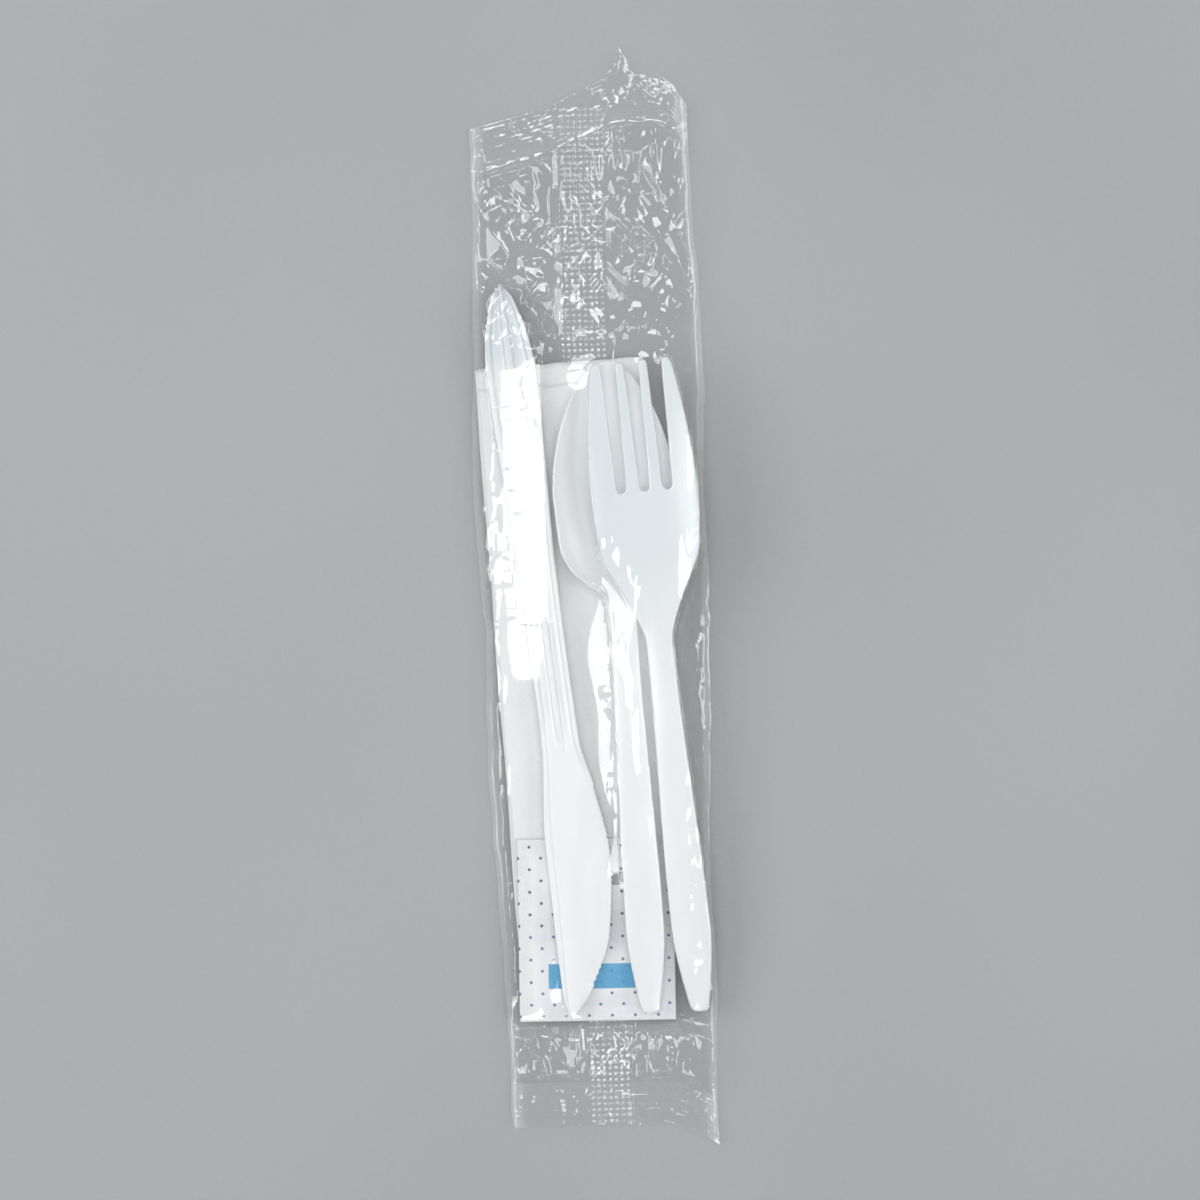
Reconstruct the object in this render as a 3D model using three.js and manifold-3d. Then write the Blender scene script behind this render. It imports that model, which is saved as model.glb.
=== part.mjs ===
// Wrapped disposable cutlery pack: a clear flow-wrap film sleeve, closed by a fin seal along its back and
// a crimped seal at each end, round a fork, a spoon, a knife, a folded napkin and a twin sachet.
// Millimetres. The pack lies on its back: +Z is up and +Y runs along it, towards the fork's tines.
import * as THREE from "three";
import { mergeVertices } from "three/addons/utils/BufferGeometryUtils.js";
import Module from "manifold-3d";

// Room between pieces
const layGap = 0.3; // between pieces that rest on each other
const filmGap = 0.35; // between the film and what it wraps

// Moulded handle, the same section on all three pieces of cutlery
const handleCrown = 0.7; // rise of the front along its middle
const handleWall = 1.1;
const handleFlange = 2.1; // depth of the two rims and the middle rib on the back
const handleEndHalf = 2.2; // half the width at the blunt end

// Fork and spoon of one set are equally long
const setLength = 150;

// Fork
const forkHandleHalf = 4.5;
const forkNeckHalf = 3.05;
const forkNeckAt = 85; // from the handle's end
const forkHeadHalf = 12.3;
const forkHeadAt = 120;
const forkTipHalf = 9.4; // half the width over the four tips
const forkArch = 7.4; // height of the neck over the table
const forkFloor = 2.6; // height of the head's lowest point
const forkTipRise = 6;
const forkWall = 1.2;
const forkDish = 2.2; // how far the sides of the head turn up
const slotLength = 30;
const slotPitch = 5.3;
const slotBase = 2.2; // width at the closed end
const slotMouth = 3.3;
const tineTip = 0.85; // radius of a tine's tip

// Spoon
const spoonHandleHalf = 4.4;
const spoonNeckHalf = 3.1;
const spoonNeckAt = 90;
const bowlHalf = 14.2;
const bowlWidestAt = 119.6;
const bowlDepth = 5.4;
const spoonWall = 1.1;
const spoonArch = 7.6;

// Knife
const knifeLength = 168.5;
const knifeHandleHalf = 5.7;
const knifeNeckHalf = 4.15;
const knifeNeckAt = 104;
const bladeSpine = 6.5; // spine from the handle's axis
const bladeEdge = 8.3; // cutting edge from the handle's axis, at the blade's widest
const bladeWidestAt = 131;
const bladeTipOffset = 6.2; // tip from the handle's axis, towards the spine
const bladeWall = 1.3;
const edgeWall = 0.7;
const toothPitch = 1.3;
const toothDepth = 0.55;

// Napkin, one sheet folded back and forth
const napkinWidth = 38.7;
const napkinLength = 134;
const napkinLayers = 4;
const napkinPly = 0.4;
const napkinLayerGap = 0.1;
const napkinStep = 4.6; // how far the front layer ends short of the others

// Twin sachet, two pockets with a tear line between them
const sachetWidth = 36;
const sachetLength = 42;
const sachetSeal = 3.2; // flat margin round each pocket
const sachetPaper = 0.35;
const sachetFill = 1.3; // how far a pocket swells on its upper side
const sachetSag = 0.5; // and on its lower side

// Film sleeve
const filmWall = 0.2;
const filmSideRoom = 1.3; // from what the sleeve holds to its side folds
const filmEmptyTop = 53.5; // empty length past the napkin's upper edge
const filmEmptyFoot = 24.2; // empty length past the sachet's lower edge
const filmFlatHalf = 24.5; // half the width of the sleeve where what it holds is narrow
const filmRest = 2.4; // how far round a high point the film stays level
const filmSlope = 0.8; // how steeply the film falls away from what holds it up
const filmLengthEase = 0.62; // the film falls away this much more gently along the pack than across it
const filmSideFall = 2.2; // and this much more steeply next to its side folds
const filmColumns = 20;
const filmPlainRows = 31; // between the end seals
const sealLength = 10;
const sealPly = 0.3; // between the two plies of an end seal
const crimpHeight = 0.35;
const crimpCount = 4;
const finWidth = 10.2;
const finFold = 4.6; // the fin's folded root, right of the pack's middle
const finGap = 0.15;
const sealSlant = 11.4; // how far the upper seal climbs from left to right
const cornerTail = 5.6; // pulled-out corner of the lower seal
const sealSpike = 8; // pulled-out strand of the upper seal
const creaseHeight = 2.4; // tallest crease of the loose film
const creaseReach = 5; // half the width of a crease
const gatherHeight = 1.5; // pleats beside the end seals
const gatherLength = 24;

// Where the pieces lie on the pack's plan: the foot of each axis and its lean to the left, in degrees
const spoonFoot = new THREE.Vector2(9.2, -96.3);
const spoonLean = 2.1;
const forkFoot = new THREE.Vector2(20.7, -96.2);
const forkLean = 4.16;
const forkRoll = 5; // right side of the fork up
const knifeLean = 5.7;
const knifeSideRoom = 1; // between the knife's handle and the spoon's bowl
const knifeEnd = 71.3; // handle's end along the pack
const napkinCorner = new THREE.Vector2(12.2, 54.8); // upper right corner
const napkinLean = 2.5;
const sachetCorner = new THREE.Vector2(15, -98.2); // lower right corner
const sachetLean = -0.9;

const wasm = await Module();
wasm.setup();

const { clamp, degToRad, lerp, smoothstep } = THREE.MathUtils;

// A smooth curve through [position, value] pairs, in order, that never overshoots them.
function through(...pairs) {
  const steps = pairs.slice(1).map(([at, value], i) => (value - pairs[i][1]) / (at - pairs[i][0]));
  const slopes = pairs.map((_, i) => {
    const before = steps[i - 1] ?? steps[i];
    const after = steps[i] ?? steps[i - 1];
    return before * after > 0 ? (2 * before * after) / (before + after) : 0;
  });
  return (at) => {
    let i = 0;
    while (i < pairs.length - 2 && at > pairs[i + 1][0]) i++;
    const [start, low] = pairs[i];
    const [end, high] = pairs[i + 1];
    const span = end - start;
    const s = clamp((at - start) / span, 0, 1);
    const bend = span * (slopes[i] * s * (1 - s) ** 2 - slopes[i + 1] * s * s * (1 - s));
    return low + (high - low) * s * s * (3 - 2 * s) + bend;
  };
}

// Evenly spaced positions from start to end, about step apart, both ends included.
function spaced(start, end, step) {
  const count = Math.max(1, Math.round((end - start) / step));
  return Array.from({ length: count + 1 }, (_, i) => lerp(start, end, i / count));
}

// Positions of several stretches in one rising list, with no position twice.
function stations(...stretches) {
  const sorted = stretches.flatMap(([start, end, step]) => spaced(start, end, step)).sort((a, b) => a - b);
  return sorted.filter((at, i) => i === 0 || at - sorted[i - 1] > 0.05);
}

function bareGeometry(points, index) {
  const geometry = new THREE.BufferGeometry().setFromPoints(points);
  geometry.setIndex(index);
  return geometry;
}

// Skins rings of points, all of one length, that run along +Y, and closes both ends.
function loft(rings) {
  const count = rings[0].length;
  const index = [];
  for (let row = 0; row + 1 < rings.length; row++) {
    for (let i = 0; i < count; i++) {
      const a = row * count + i;
      const b = row * count + ((i + 1) % count);
      index.push(a, b, b + count, a, b + count, a + count);
    }
  }
  const capOf = (ring) => THREE.ShapeUtils.triangulateShape(ring.map((p) => new THREE.Vector2(p.x, p.z)), []);
  const last = (rings.length - 1) * count;
  capOf(rings[0]).forEach(([a, b, c]) => index.push(a, b, c));
  capOf(rings.at(-1)).forEach(([a, b, c]) => index.push(last + a, last + c, last + b));
  return bareGeometry(rings.flat(), index);
}

// Boolean work is done on solids, which are made from and turned back into geometries.
function solidOf(geometry) {
  const bare = geometry.clone();
  bare.deleteAttribute("normal");
  bare.deleteAttribute("uv");
  const merged = mergeVertices(bare, 1e-4);
  const vertProperties = new Float32Array(merged.attributes.position.array);
  const triVerts = new Uint32Array(merged.index.array);
  return new wasm.Manifold(new wasm.Mesh({ numProp: 3, vertProperties, triVerts }));
}

function geometryOf(solid) {
  const { vertProperties, triVerts } = solid.getMesh();
  const geometry = new THREE.BufferGeometry();
  geometry.setAttribute("position", new THREE.BufferAttribute(vertProperties, 3));
  geometry.setIndex(new THREE.BufferAttribute(triVerts, 1));
  return geometry;
}

// A plan outline cut straight through, from below to above.
function throughCutter(shape, below, above) {
  const depth = above - below;
  const geometry = new THREE.ExtrudeGeometry(shape, { depth, bevelEnabled: false, curveSegments: 8 });
  return solidOf(geometry.translate(0, 0, below));
}

// Positions across a section, as shares of its half width: the front is plain, the back has rims and a rib.
const frontAcross = [-1, -0.86, -0.62, -0.32, 0, 0.32, 0.62, 0.86, 1];
const backAcross = [-1, -0.8, -0.66, -0.24, -0.12, 0.12, 0.24, 0.66, 0.8, 1];
const flatAcross = [-1, -0.5, 0, 0.5, 1];

// 1 on the two rims and on the middle rib of a handle's back, 0 in the two channels between them.
function backRelief(across) {
  const side = Math.abs(across);
  return side >= 0.8 || side <= 0.12 ? 1 : 0;
}

// One section of a piece of cutlery: upper and lower give heights over its table at places across it.
function section(at, middle, half, upperAcross, upper, lowerAcross, lower) {
  const place = (across, height) => new THREE.Vector3(middle + across * half, at, height(across));
  const over = upperAcross.map((across) => place(across, upper));
  const under = lowerAcross.map((across) => place(across, lower));
  return [...over, ...under.reverse()];
}

// Handle and head of a fork or a spoon: the handle's section fades into a dished head of even wall.
function frontUpPiece(ys, halfAt, heightAt, dishAt, power, wall, headShare) {
  const rings = ys.map((at) => {
    const head = headShare(at);
    const crown = handleCrown * (1 - head);
    const front = (u) => heightAt(at) + dishAt(at) * Math.abs(u) ** power + crown * (1 - Math.abs(u) ** 1.5);
    const back = (u) => {
      const channel = front(u) - lerp(handleWall, wall, head);
      const rim = heightAt(at) - handleFlange;
      return lerp(channel, Math.min(channel, rim), backRelief(u) * (1 - head));
    };
    return section(at, 0, halfAt(at), frontAcross, front, backAcross, back);
  });
  return loft(rings);
}

// Blunt rounded end of a handle, then its widest place.
const handleEnd = (widest, widestAt) => [
  [0, handleEndHalf * 0.6],
  [0.7, handleEndHalf * 0.9],
  [2.2, handleEndHalf * 1.1],
  [widestAt, widest],
];

// Fork
function forkGeometry() {
  const shoulder = forkHeadAt - forkNeckAt;
  const halfAt = through(
    ...handleEnd(forkHandleHalf, 20),
    [forkNeckAt, forkNeckHalf],
    [forkNeckAt + 0.28 * shoulder, lerp(forkNeckHalf, forkHeadHalf, 0.32)],
    [forkNeckAt + 0.62 * shoulder, lerp(forkNeckHalf, forkHeadHalf, 0.9)],
    [forkHeadAt, forkHeadHalf],
    [setLength - 2 * tineTip, forkTipHalf],
    [setLength, forkTipHalf - tineTip],
  );
  const heightAt = through(
    [0, handleFlange],
    [forkNeckAt * 0.45, forkArch * 0.72],
    [forkNeckAt, forkArch],
    [forkNeckAt + 0.8 * shoulder, forkFloor + forkWall + 0.3],
    [forkHeadAt + 4, forkFloor + forkWall],
    [setLength, forkTipRise],
  );
  const headShare = (at) => smoothstep(at, forkNeckAt - 4, forkNeckAt + 0.4 * shoulder);
  const dishAt = (at) => {
    const fade = 1 - 0.75 * smoothstep(at, forkHeadAt, setLength);
    return forkDish * smoothstep(at, forkNeckAt, forkHeadAt) * fade;
  };
  const ys = stations(
    [0, 2.2, 1.1],
    [2.2, forkNeckAt - 6, 7.5],
    [forkNeckAt - 6, forkHeadAt - 8, 2.6],
    [forkHeadAt - 8, setLength - 2 * tineTip, 4],
    [setLength - 2 * tineTip, setLength, tineTip],
  );
  const blank = solidOf(frontUpPiece(ys, halfAt, heightAt, dishAt, 2.6, forkWall, headShare));
  const slots = [-1, 0, 1].map((side) => slotCutter(side * slotPitch));
  return geometryOf(slots.reduce((piece, slot) => piece.subtract(slot), blank));
}

// One slot between two tines: round at its closed end, and flared at its mouth so that the tips are round.
function slotCutter(middle) {
  const closed = setLength - slotLength + slotBase / 2;
  const flare = setLength - tineTip;
  const past = setLength + 1;
  const base = slotBase / 2;
  const mouth = slotMouth / 2;
  const shape = new THREE.Shape();
  shape.moveTo(middle + base, closed);
  shape.lineTo(middle + mouth, flare);
  shape.quadraticCurveTo(middle + mouth, setLength, middle + mouth + tineTip, setLength);
  shape.lineTo(middle + mouth + tineTip, past);
  shape.lineTo(middle - mouth - tineTip, past);
  shape.lineTo(middle - mouth - tineTip, setLength);
  shape.quadraticCurveTo(middle - mouth, setLength, middle - mouth, flare);
  shape.lineTo(middle - base, closed);
  shape.absarc(middle, closed, base, Math.PI, 2 * Math.PI);
  return throughCutter(shape, -forkArch, 3 * forkArch);
}

// Spoon
function spoonGeometry() {
  const rear = bowlWidestAt - spoonNeckAt;
  const frontLength = setLength - bowlWidestAt;
  const rearHalf = through(
    ...handleEnd(spoonHandleHalf, 20),
    [spoonNeckAt - 6, spoonNeckHalf],
    [spoonNeckAt + 0.17 * rear, lerp(spoonNeckHalf, bowlHalf, 0.06)],
    [spoonNeckAt + 0.28 * rear, lerp(spoonNeckHalf, bowlHalf, 0.34)],
    [spoonNeckAt + 0.4 * rear, lerp(spoonNeckHalf, bowlHalf, 0.7)],
    [spoonNeckAt + 0.59 * rear, lerp(spoonNeckHalf, bowlHalf, 0.93)],
    [bowlWidestAt, bowlHalf],
  );
  const noseHalf = (at) => bowlHalf * (1 - ((at - bowlWidestAt) / frontLength) ** 1.75) ** (1 / 1.75);
  const halfAt = (at) => (at <= bowlWidestAt ? rearHalf(at) : noseHalf(at));
  const rim = bowlDepth + spoonWall;
  const depthAt = through(
    [spoonNeckAt - 2, 0],
    [spoonNeckAt + 0.45 * rear, bowlDepth * 0.7],
    [bowlWidestAt + 3, bowlDepth],
    [bowlWidestAt + 0.62 * frontLength, bowlDepth * 0.62],
    [setLength, 0],
  );
  const rimAt = through(
    [0, handleFlange],
    [spoonNeckAt * 0.45, spoonArch * 0.7],
    [spoonNeckAt - 4, spoonArch],
    [bowlWidestAt, rim],
    [setLength, rim - 0.6],
  );
  const headShare = (at) => smoothstep(at, spoonNeckAt - 12, spoonNeckAt + 4);
  const tip = setLength - 0.25;
  const ys = stations(
    [0, 2.2, 1.1],
    [2.2, spoonNeckAt - 12, 7.5],
    [spoonNeckAt - 12, spoonNeckAt, 4],
    [spoonNeckAt, bowlWidestAt - 8, 2.2],
    [bowlWidestAt - 8, setLength - 9, 3],
    [setLength - 9, setLength - 2, 1.75],
    [setLength - 2, tip, 0.9],
  );
  const heightAt = (at) => rimAt(at) - depthAt(at);
  return frontUpPiece(ys, halfAt, heightAt, depthAt, 2.3, spoonWall, headShare);
}

// Knife, drawn back up: rims and rib face +Z. The spine is on +X and the cutting edge on -X.
function knifeEdges() {
  const blade = knifeLength - knifeNeckAt;
  const handle = [
    [0, 0.8],
    [0.8, 1.5],
    [2.4, 2.5],
    [7, 3.9],
    [11.5, 4.95],
    [19, knifeHandleHalf],
    [knifeNeckAt - 28, knifeNeckHalf],
    [knifeNeckAt, knifeNeckHalf + 0.1],
  ];
  const spine = through(
    ...handle,
    [knifeNeckAt + 0.38 * blade, bladeSpine],
    [knifeLength - 6, bladeSpine + 0.5],
    [knifeLength, bladeTipOffset],
  );
  const edge = through(
    ...handle,
    [lerp(knifeNeckAt, bladeWidestAt, 0.5), lerp(knifeNeckHalf, bladeEdge, 0.6)],
    [bladeWidestAt, bladeEdge],
    [lerp(bladeWidestAt, knifeLength, 0.52), bladeEdge - 2.6],
    [lerp(bladeWidestAt, knifeLength, 0.8), bladeEdge - 7.5],
    [knifeLength - 1.6, bladeEdge - 11.6],
    [knifeLength, 0.8 - bladeTipOffset],
  );
  return { spine, edge };
}

function knifeGeometry() {
  const { spine, edge } = knifeEdges();
  const ys = stations(
    [0, 2.4, 0.8],
    [2.4, 19, 3.4],
    [19, knifeNeckAt - 6, 11],
    [knifeNeckAt - 6, knifeNeckAt + 12, 2.6],
    [knifeNeckAt + 12, knifeLength - 9, 5.4],
    [knifeLength - 9, knifeLength, 1.8],
  );
  const rings = ys.map((at) => {
    const half = (spine(at) + edge(at)) / 2;
    const middle = (spine(at) - edge(at)) / 2;
    // The channels run out along a slanting line where the handle meets the blade.
    const bladeShare = (u) => smoothstep(at + 5 * u, knifeNeckAt - 3, knifeNeckAt + 5);
    const foot = (u) => handleCrown * Math.abs(u) ** 1.5 * (1 - bladeShare(u));
    const flat = (u) => lerp(edgeWall, bladeWall, smoothstep(u, -1, -0.3));
    const back = (u) => {
      const channel = foot(u) + lerp(handleWall, flat(u), bladeShare(u));
      const rim = handleCrown + handleFlange;
      const spineRim = u >= 0.8 ? bladeWall + 0.6 : channel;
      return lerp(lerp(channel, rim, backRelief(u)), spineRim, bladeShare(u));
    };
    return section(at, middle, half, backAcross, back, flatAcross, foot);
  });
  const teeth = toothCutter(edge);
  return geometryOf(solidOf(loft(rings)).subtract(teeth));
}

// A saw-toothed strip along the cutting edge.
function toothCutter(edge) {
  const start = lerp(knifeNeckAt, bladeWidestAt, 0.45);
  const end = knifeLength - 7;
  const shape = new THREE.Shape();
  spaced(start, end, toothPitch / 2).forEach((at, i) => {
    const x = -edge(at) + (i % 2 ? toothDepth : -0.05);
    if (i === 0) shape.moveTo(x, at);
    else shape.lineTo(x, at);
  });
  shape.lineTo(-bladeEdge - 4, end);
  shape.lineTo(-bladeEdge - 4, start);
  return throughCutter(shape, -1, 4);
}

// Napkin: one sheet folded back and forth, folds on alternate sides. Its origin is its upper right corner.
const napkinPitch = napkinPly + napkinLayerGap;
const napkinThick = napkinLayers * napkinPitch - napkinLayerGap;

function napkinGeometry() {
  const outer = napkinPly + napkinLayerGap / 2;
  const turn = (layer, radius) => {
    const side = layer % 2 ? -1 : 1;
    const middle = side > 0 ? -outer : outer - napkinWidth;
    const height = (layer + 1) * napkinPitch - napkinLayerGap / 2;
    return [-60, 0, 60].map((angle) => {
      const a = degToRad(angle);
      return new THREE.Vector2(middle + side * radius * Math.cos(a), height + radius * Math.sin(a));
    });
  };
  const turns = Array.from({ length: napkinLayers - 1 }, (_, layer) => layer);
  const wide = (layer) => turn(layer, outer);
  const tight = (layer) => turn(layer, napkinLayerGap / 2);
  const away = turns.flatMap((layer) => (layer % 2 ? tight(layer) : wide(layer)));
  const back = turns.flatMap((layer) => (layer % 2 ? wide(layer) : tight(layer))).reverse();
  const lastOnLeft = napkinLayers % 2 === 0;
  const lastEdge = lastOnLeft ? -napkinWidth : 0;
  const outline = [
    new THREE.Vector2(-napkinWidth, 0),
    ...away,
    new THREE.Vector2(lastEdge, napkinThick - (lastOnLeft ? 0 : napkinPly)),
    new THREE.Vector2(lastEdge, napkinThick - (lastOnLeft ? napkinPly : 0)),
    ...back,
    new THREE.Vector2(-napkinWidth, napkinPly),
  ];
  const edgeOn = new THREE.Shape(outline);
  const sheet = new THREE.ExtrudeGeometry(edgeOn, { depth: napkinLength, bevelEnabled: false });
  sheet.rotateX(Math.PI / 2);
  const stepCutter = new THREE.BoxGeometry(2 * napkinWidth, 2 * napkinStep, 2 * napkinPly);
  stepCutter.translate(-napkinWidth / 2, 0, napkinThick - napkinLayerGap / 2);
  return geometryOf(solidOf(sheet).subtract(solidOf(stepCutter)));
}

// Twin sachet: a flat sealed margin round two swollen pockets. Its lower right corner is the origin.
const sachetThick = sachetSag + sachetPaper + sachetFill;

function sachetGeometry() {
  const pocketLength = sachetLength / 2;
  const swell = (along, length) => {
    const inside = clamp((along - sachetSeal) / (length - 2 * sachetSeal), 0, 1);
    return Math.sin(Math.PI * inside) ** 0.75;
  };
  const xs = [0, ...spaced(sachetSeal, sachetWidth - sachetSeal, 3.7), sachetWidth];
  const pocketYs = stations(
    [0.5, sachetSeal, sachetSeal],
    [sachetSeal, pocketLength - sachetSeal, 2.9],
    [pocketLength - sachetSeal, pocketLength - 0.5, sachetSeal],
  );
  const ys = [0, ...pocketYs, pocketLength, ...pocketYs.map((y) => y + pocketLength), sachetLength];
  const rings = ys.map((y) => {
    const fullness = swell(y % pocketLength, pocketLength);
    // The tear line between the pockets is pressed thin.
    const paper = y === pocketLength ? sachetPaper * 0.6 : sachetPaper;
    const place = (x, height) => new THREE.Vector3(x - sachetWidth, y, height);
    const full = (x) => fullness * swell(x, sachetWidth);
    const upper = xs.map((x) => place(x, sachetSag + paper + sachetFill * full(x)));
    const lower = xs.map((x) => place(x, sachetSag * (1 - full(x))));
    return [...upper, ...lower.reverse()];
  });
  return loft(rings);
}

// Heights of the stack, from the back of the sleeve up
const finThick = 2 * filmWall;
const finLift = finThick + finGap; // the back ply over the fin
const napkinFloor = finLift + filmWall + filmGap;
const napkinTop = napkinFloor + napkinThick;
const sachetFloor = napkinTop + layGap;
const sachetTop = sachetFloor + sachetThick;
const cutleryFloor = napkinTop + layGap;
const spoonEndFloor = sachetTop + layGap;
const forkEndFloor = sachetFloor + sachetSag + sachetPaper + layGap;
const forkHeadFloor = cutleryFloor + bowlDepth + spoonWall + layGap;

function named(name, geometry, material) {
  const mesh = new THREE.Mesh(geometry, new THREE.MeshStandardMaterial(material));
  mesh.name = name;
  return mesh;
}

// Puts a piece's own origin at (x, y, z), tipped up along its length, rolled and leaned to the left.
function lay(mesh, x, y, z, lean, pitch = 0, roll = 0) {
  mesh.geometry.applyMatrix4(
    new THREE.Matrix4()
      .makeRotationFromEuler(new THREE.Euler(pitch, degToRad(roll), degToRad(lean), "ZXY"))
      .setPosition(x, y, z),
  );
  return mesh;
}

const whitePlastic = { color: 0xf1f3f4, roughness: 0.35 };

const napkin = lay(
  named("napkin", napkinGeometry(), { color: 0xf6f6f4, roughness: 0.95 }),
  napkinCorner.x,
  napkinCorner.y,
  napkinFloor,
  napkinLean,
);

const sachet = lay(
  named("twin_sachet", sachetGeometry(), { color: 0xeceef0, roughness: 0.6 }),
  sachetCorner.x,
  sachetCorner.y,
  sachetFloor,
  sachetLean,
);

const spoonPitch = Math.atan2(cutleryFloor - spoonEndFloor, bowlWidestAt);
const spoon = lay(
  named("spoon", spoonGeometry(), whitePlastic),
  spoonFoot.x,
  spoonFoot.y,
  spoonEndFloor,
  spoonLean,
  spoonPitch,
);

const forkPitch = Math.atan2(forkHeadFloor - forkFloor - forkEndFloor, forkHeadAt);
const fork = lay(
  named("fork", forkGeometry(), whitePlastic),
  forkFoot.x,
  forkFoot.y,
  forkEndFloor,
  forkLean,
  forkPitch,
  -forkRoll,
);

// The knife lies the other way round, its handle beside the spoon's bowl and its blade over the sachet.
const knifeBesideBowl = knifeEnd - (spoonFoot.y + bowlWidestAt);
const bowlLeft = spoonFoot.x - bowlWidestAt * Math.sin(degToRad(spoonLean)) - bowlHalf;
const knifeAxisX = bowlLeft - knifeSideRoom - knifeEdges().edge(knifeBesideBowl);
const knifeEndX = knifeAxisX - knifeBesideBowl * Math.tan(degToRad(knifeLean));
const knifeOnNapkin = knifeEnd - napkinCorner.y;
const knifeOnSachet = knifeEnd - (sachetCorner.y + sachetLength - sachetSeal);
const knifePitch = Math.atan2(sachetTop - napkinTop, knifeOnSachet - knifeOnNapkin);
const knife = lay(
  named("knife", knifeGeometry(), whitePlastic),
  knifeEndX,
  knifeEnd,
  cutleryFloor - knifeOnNapkin * Math.tan(knifePitch),
  180 + knifeLean,
  knifePitch,
);

// Points spread over the faces of what the sleeve holds, for the film to keep clear of.
function pointsOver(mesh, spacing) {
  const bare = mesh.geometry.toNonIndexed().attributes.position;
  const corner = (i) => new THREE.Vector3().fromBufferAttribute(bare, i);
  const points = [];
  for (let i = 0; i < bare.count; i += 3) {
    const [a, b, c] = [corner(i), corner(i + 1), corner(i + 2)];
    const parts = Math.ceil(Math.max(a.distanceTo(b), a.distanceTo(c), b.distanceTo(c)) / spacing);
    const toB = b.clone().sub(a).divideScalar(parts);
    const toC = c.clone().sub(a).divideScalar(parts);
    for (let j = 0; j <= parts; j++) {
      for (let k = 0; k <= parts - j; k++) {
        points.push(a.clone().addScaledVector(toB, j).addScaledVector(toC, k));
      }
    }
  }
  return points;
}

// The highest point in each square of a plan grid.
function highestOf(points, square) {
  const squares = new Map();
  points.forEach((p) => {
    const key = `${Math.floor(p.x / square)} ${Math.floor(p.y / square)}`;
    if (!squares.has(key) || squares.get(key).z < p.z) squares.set(key, p);
  });
  return [...squares.values()];
}

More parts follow.
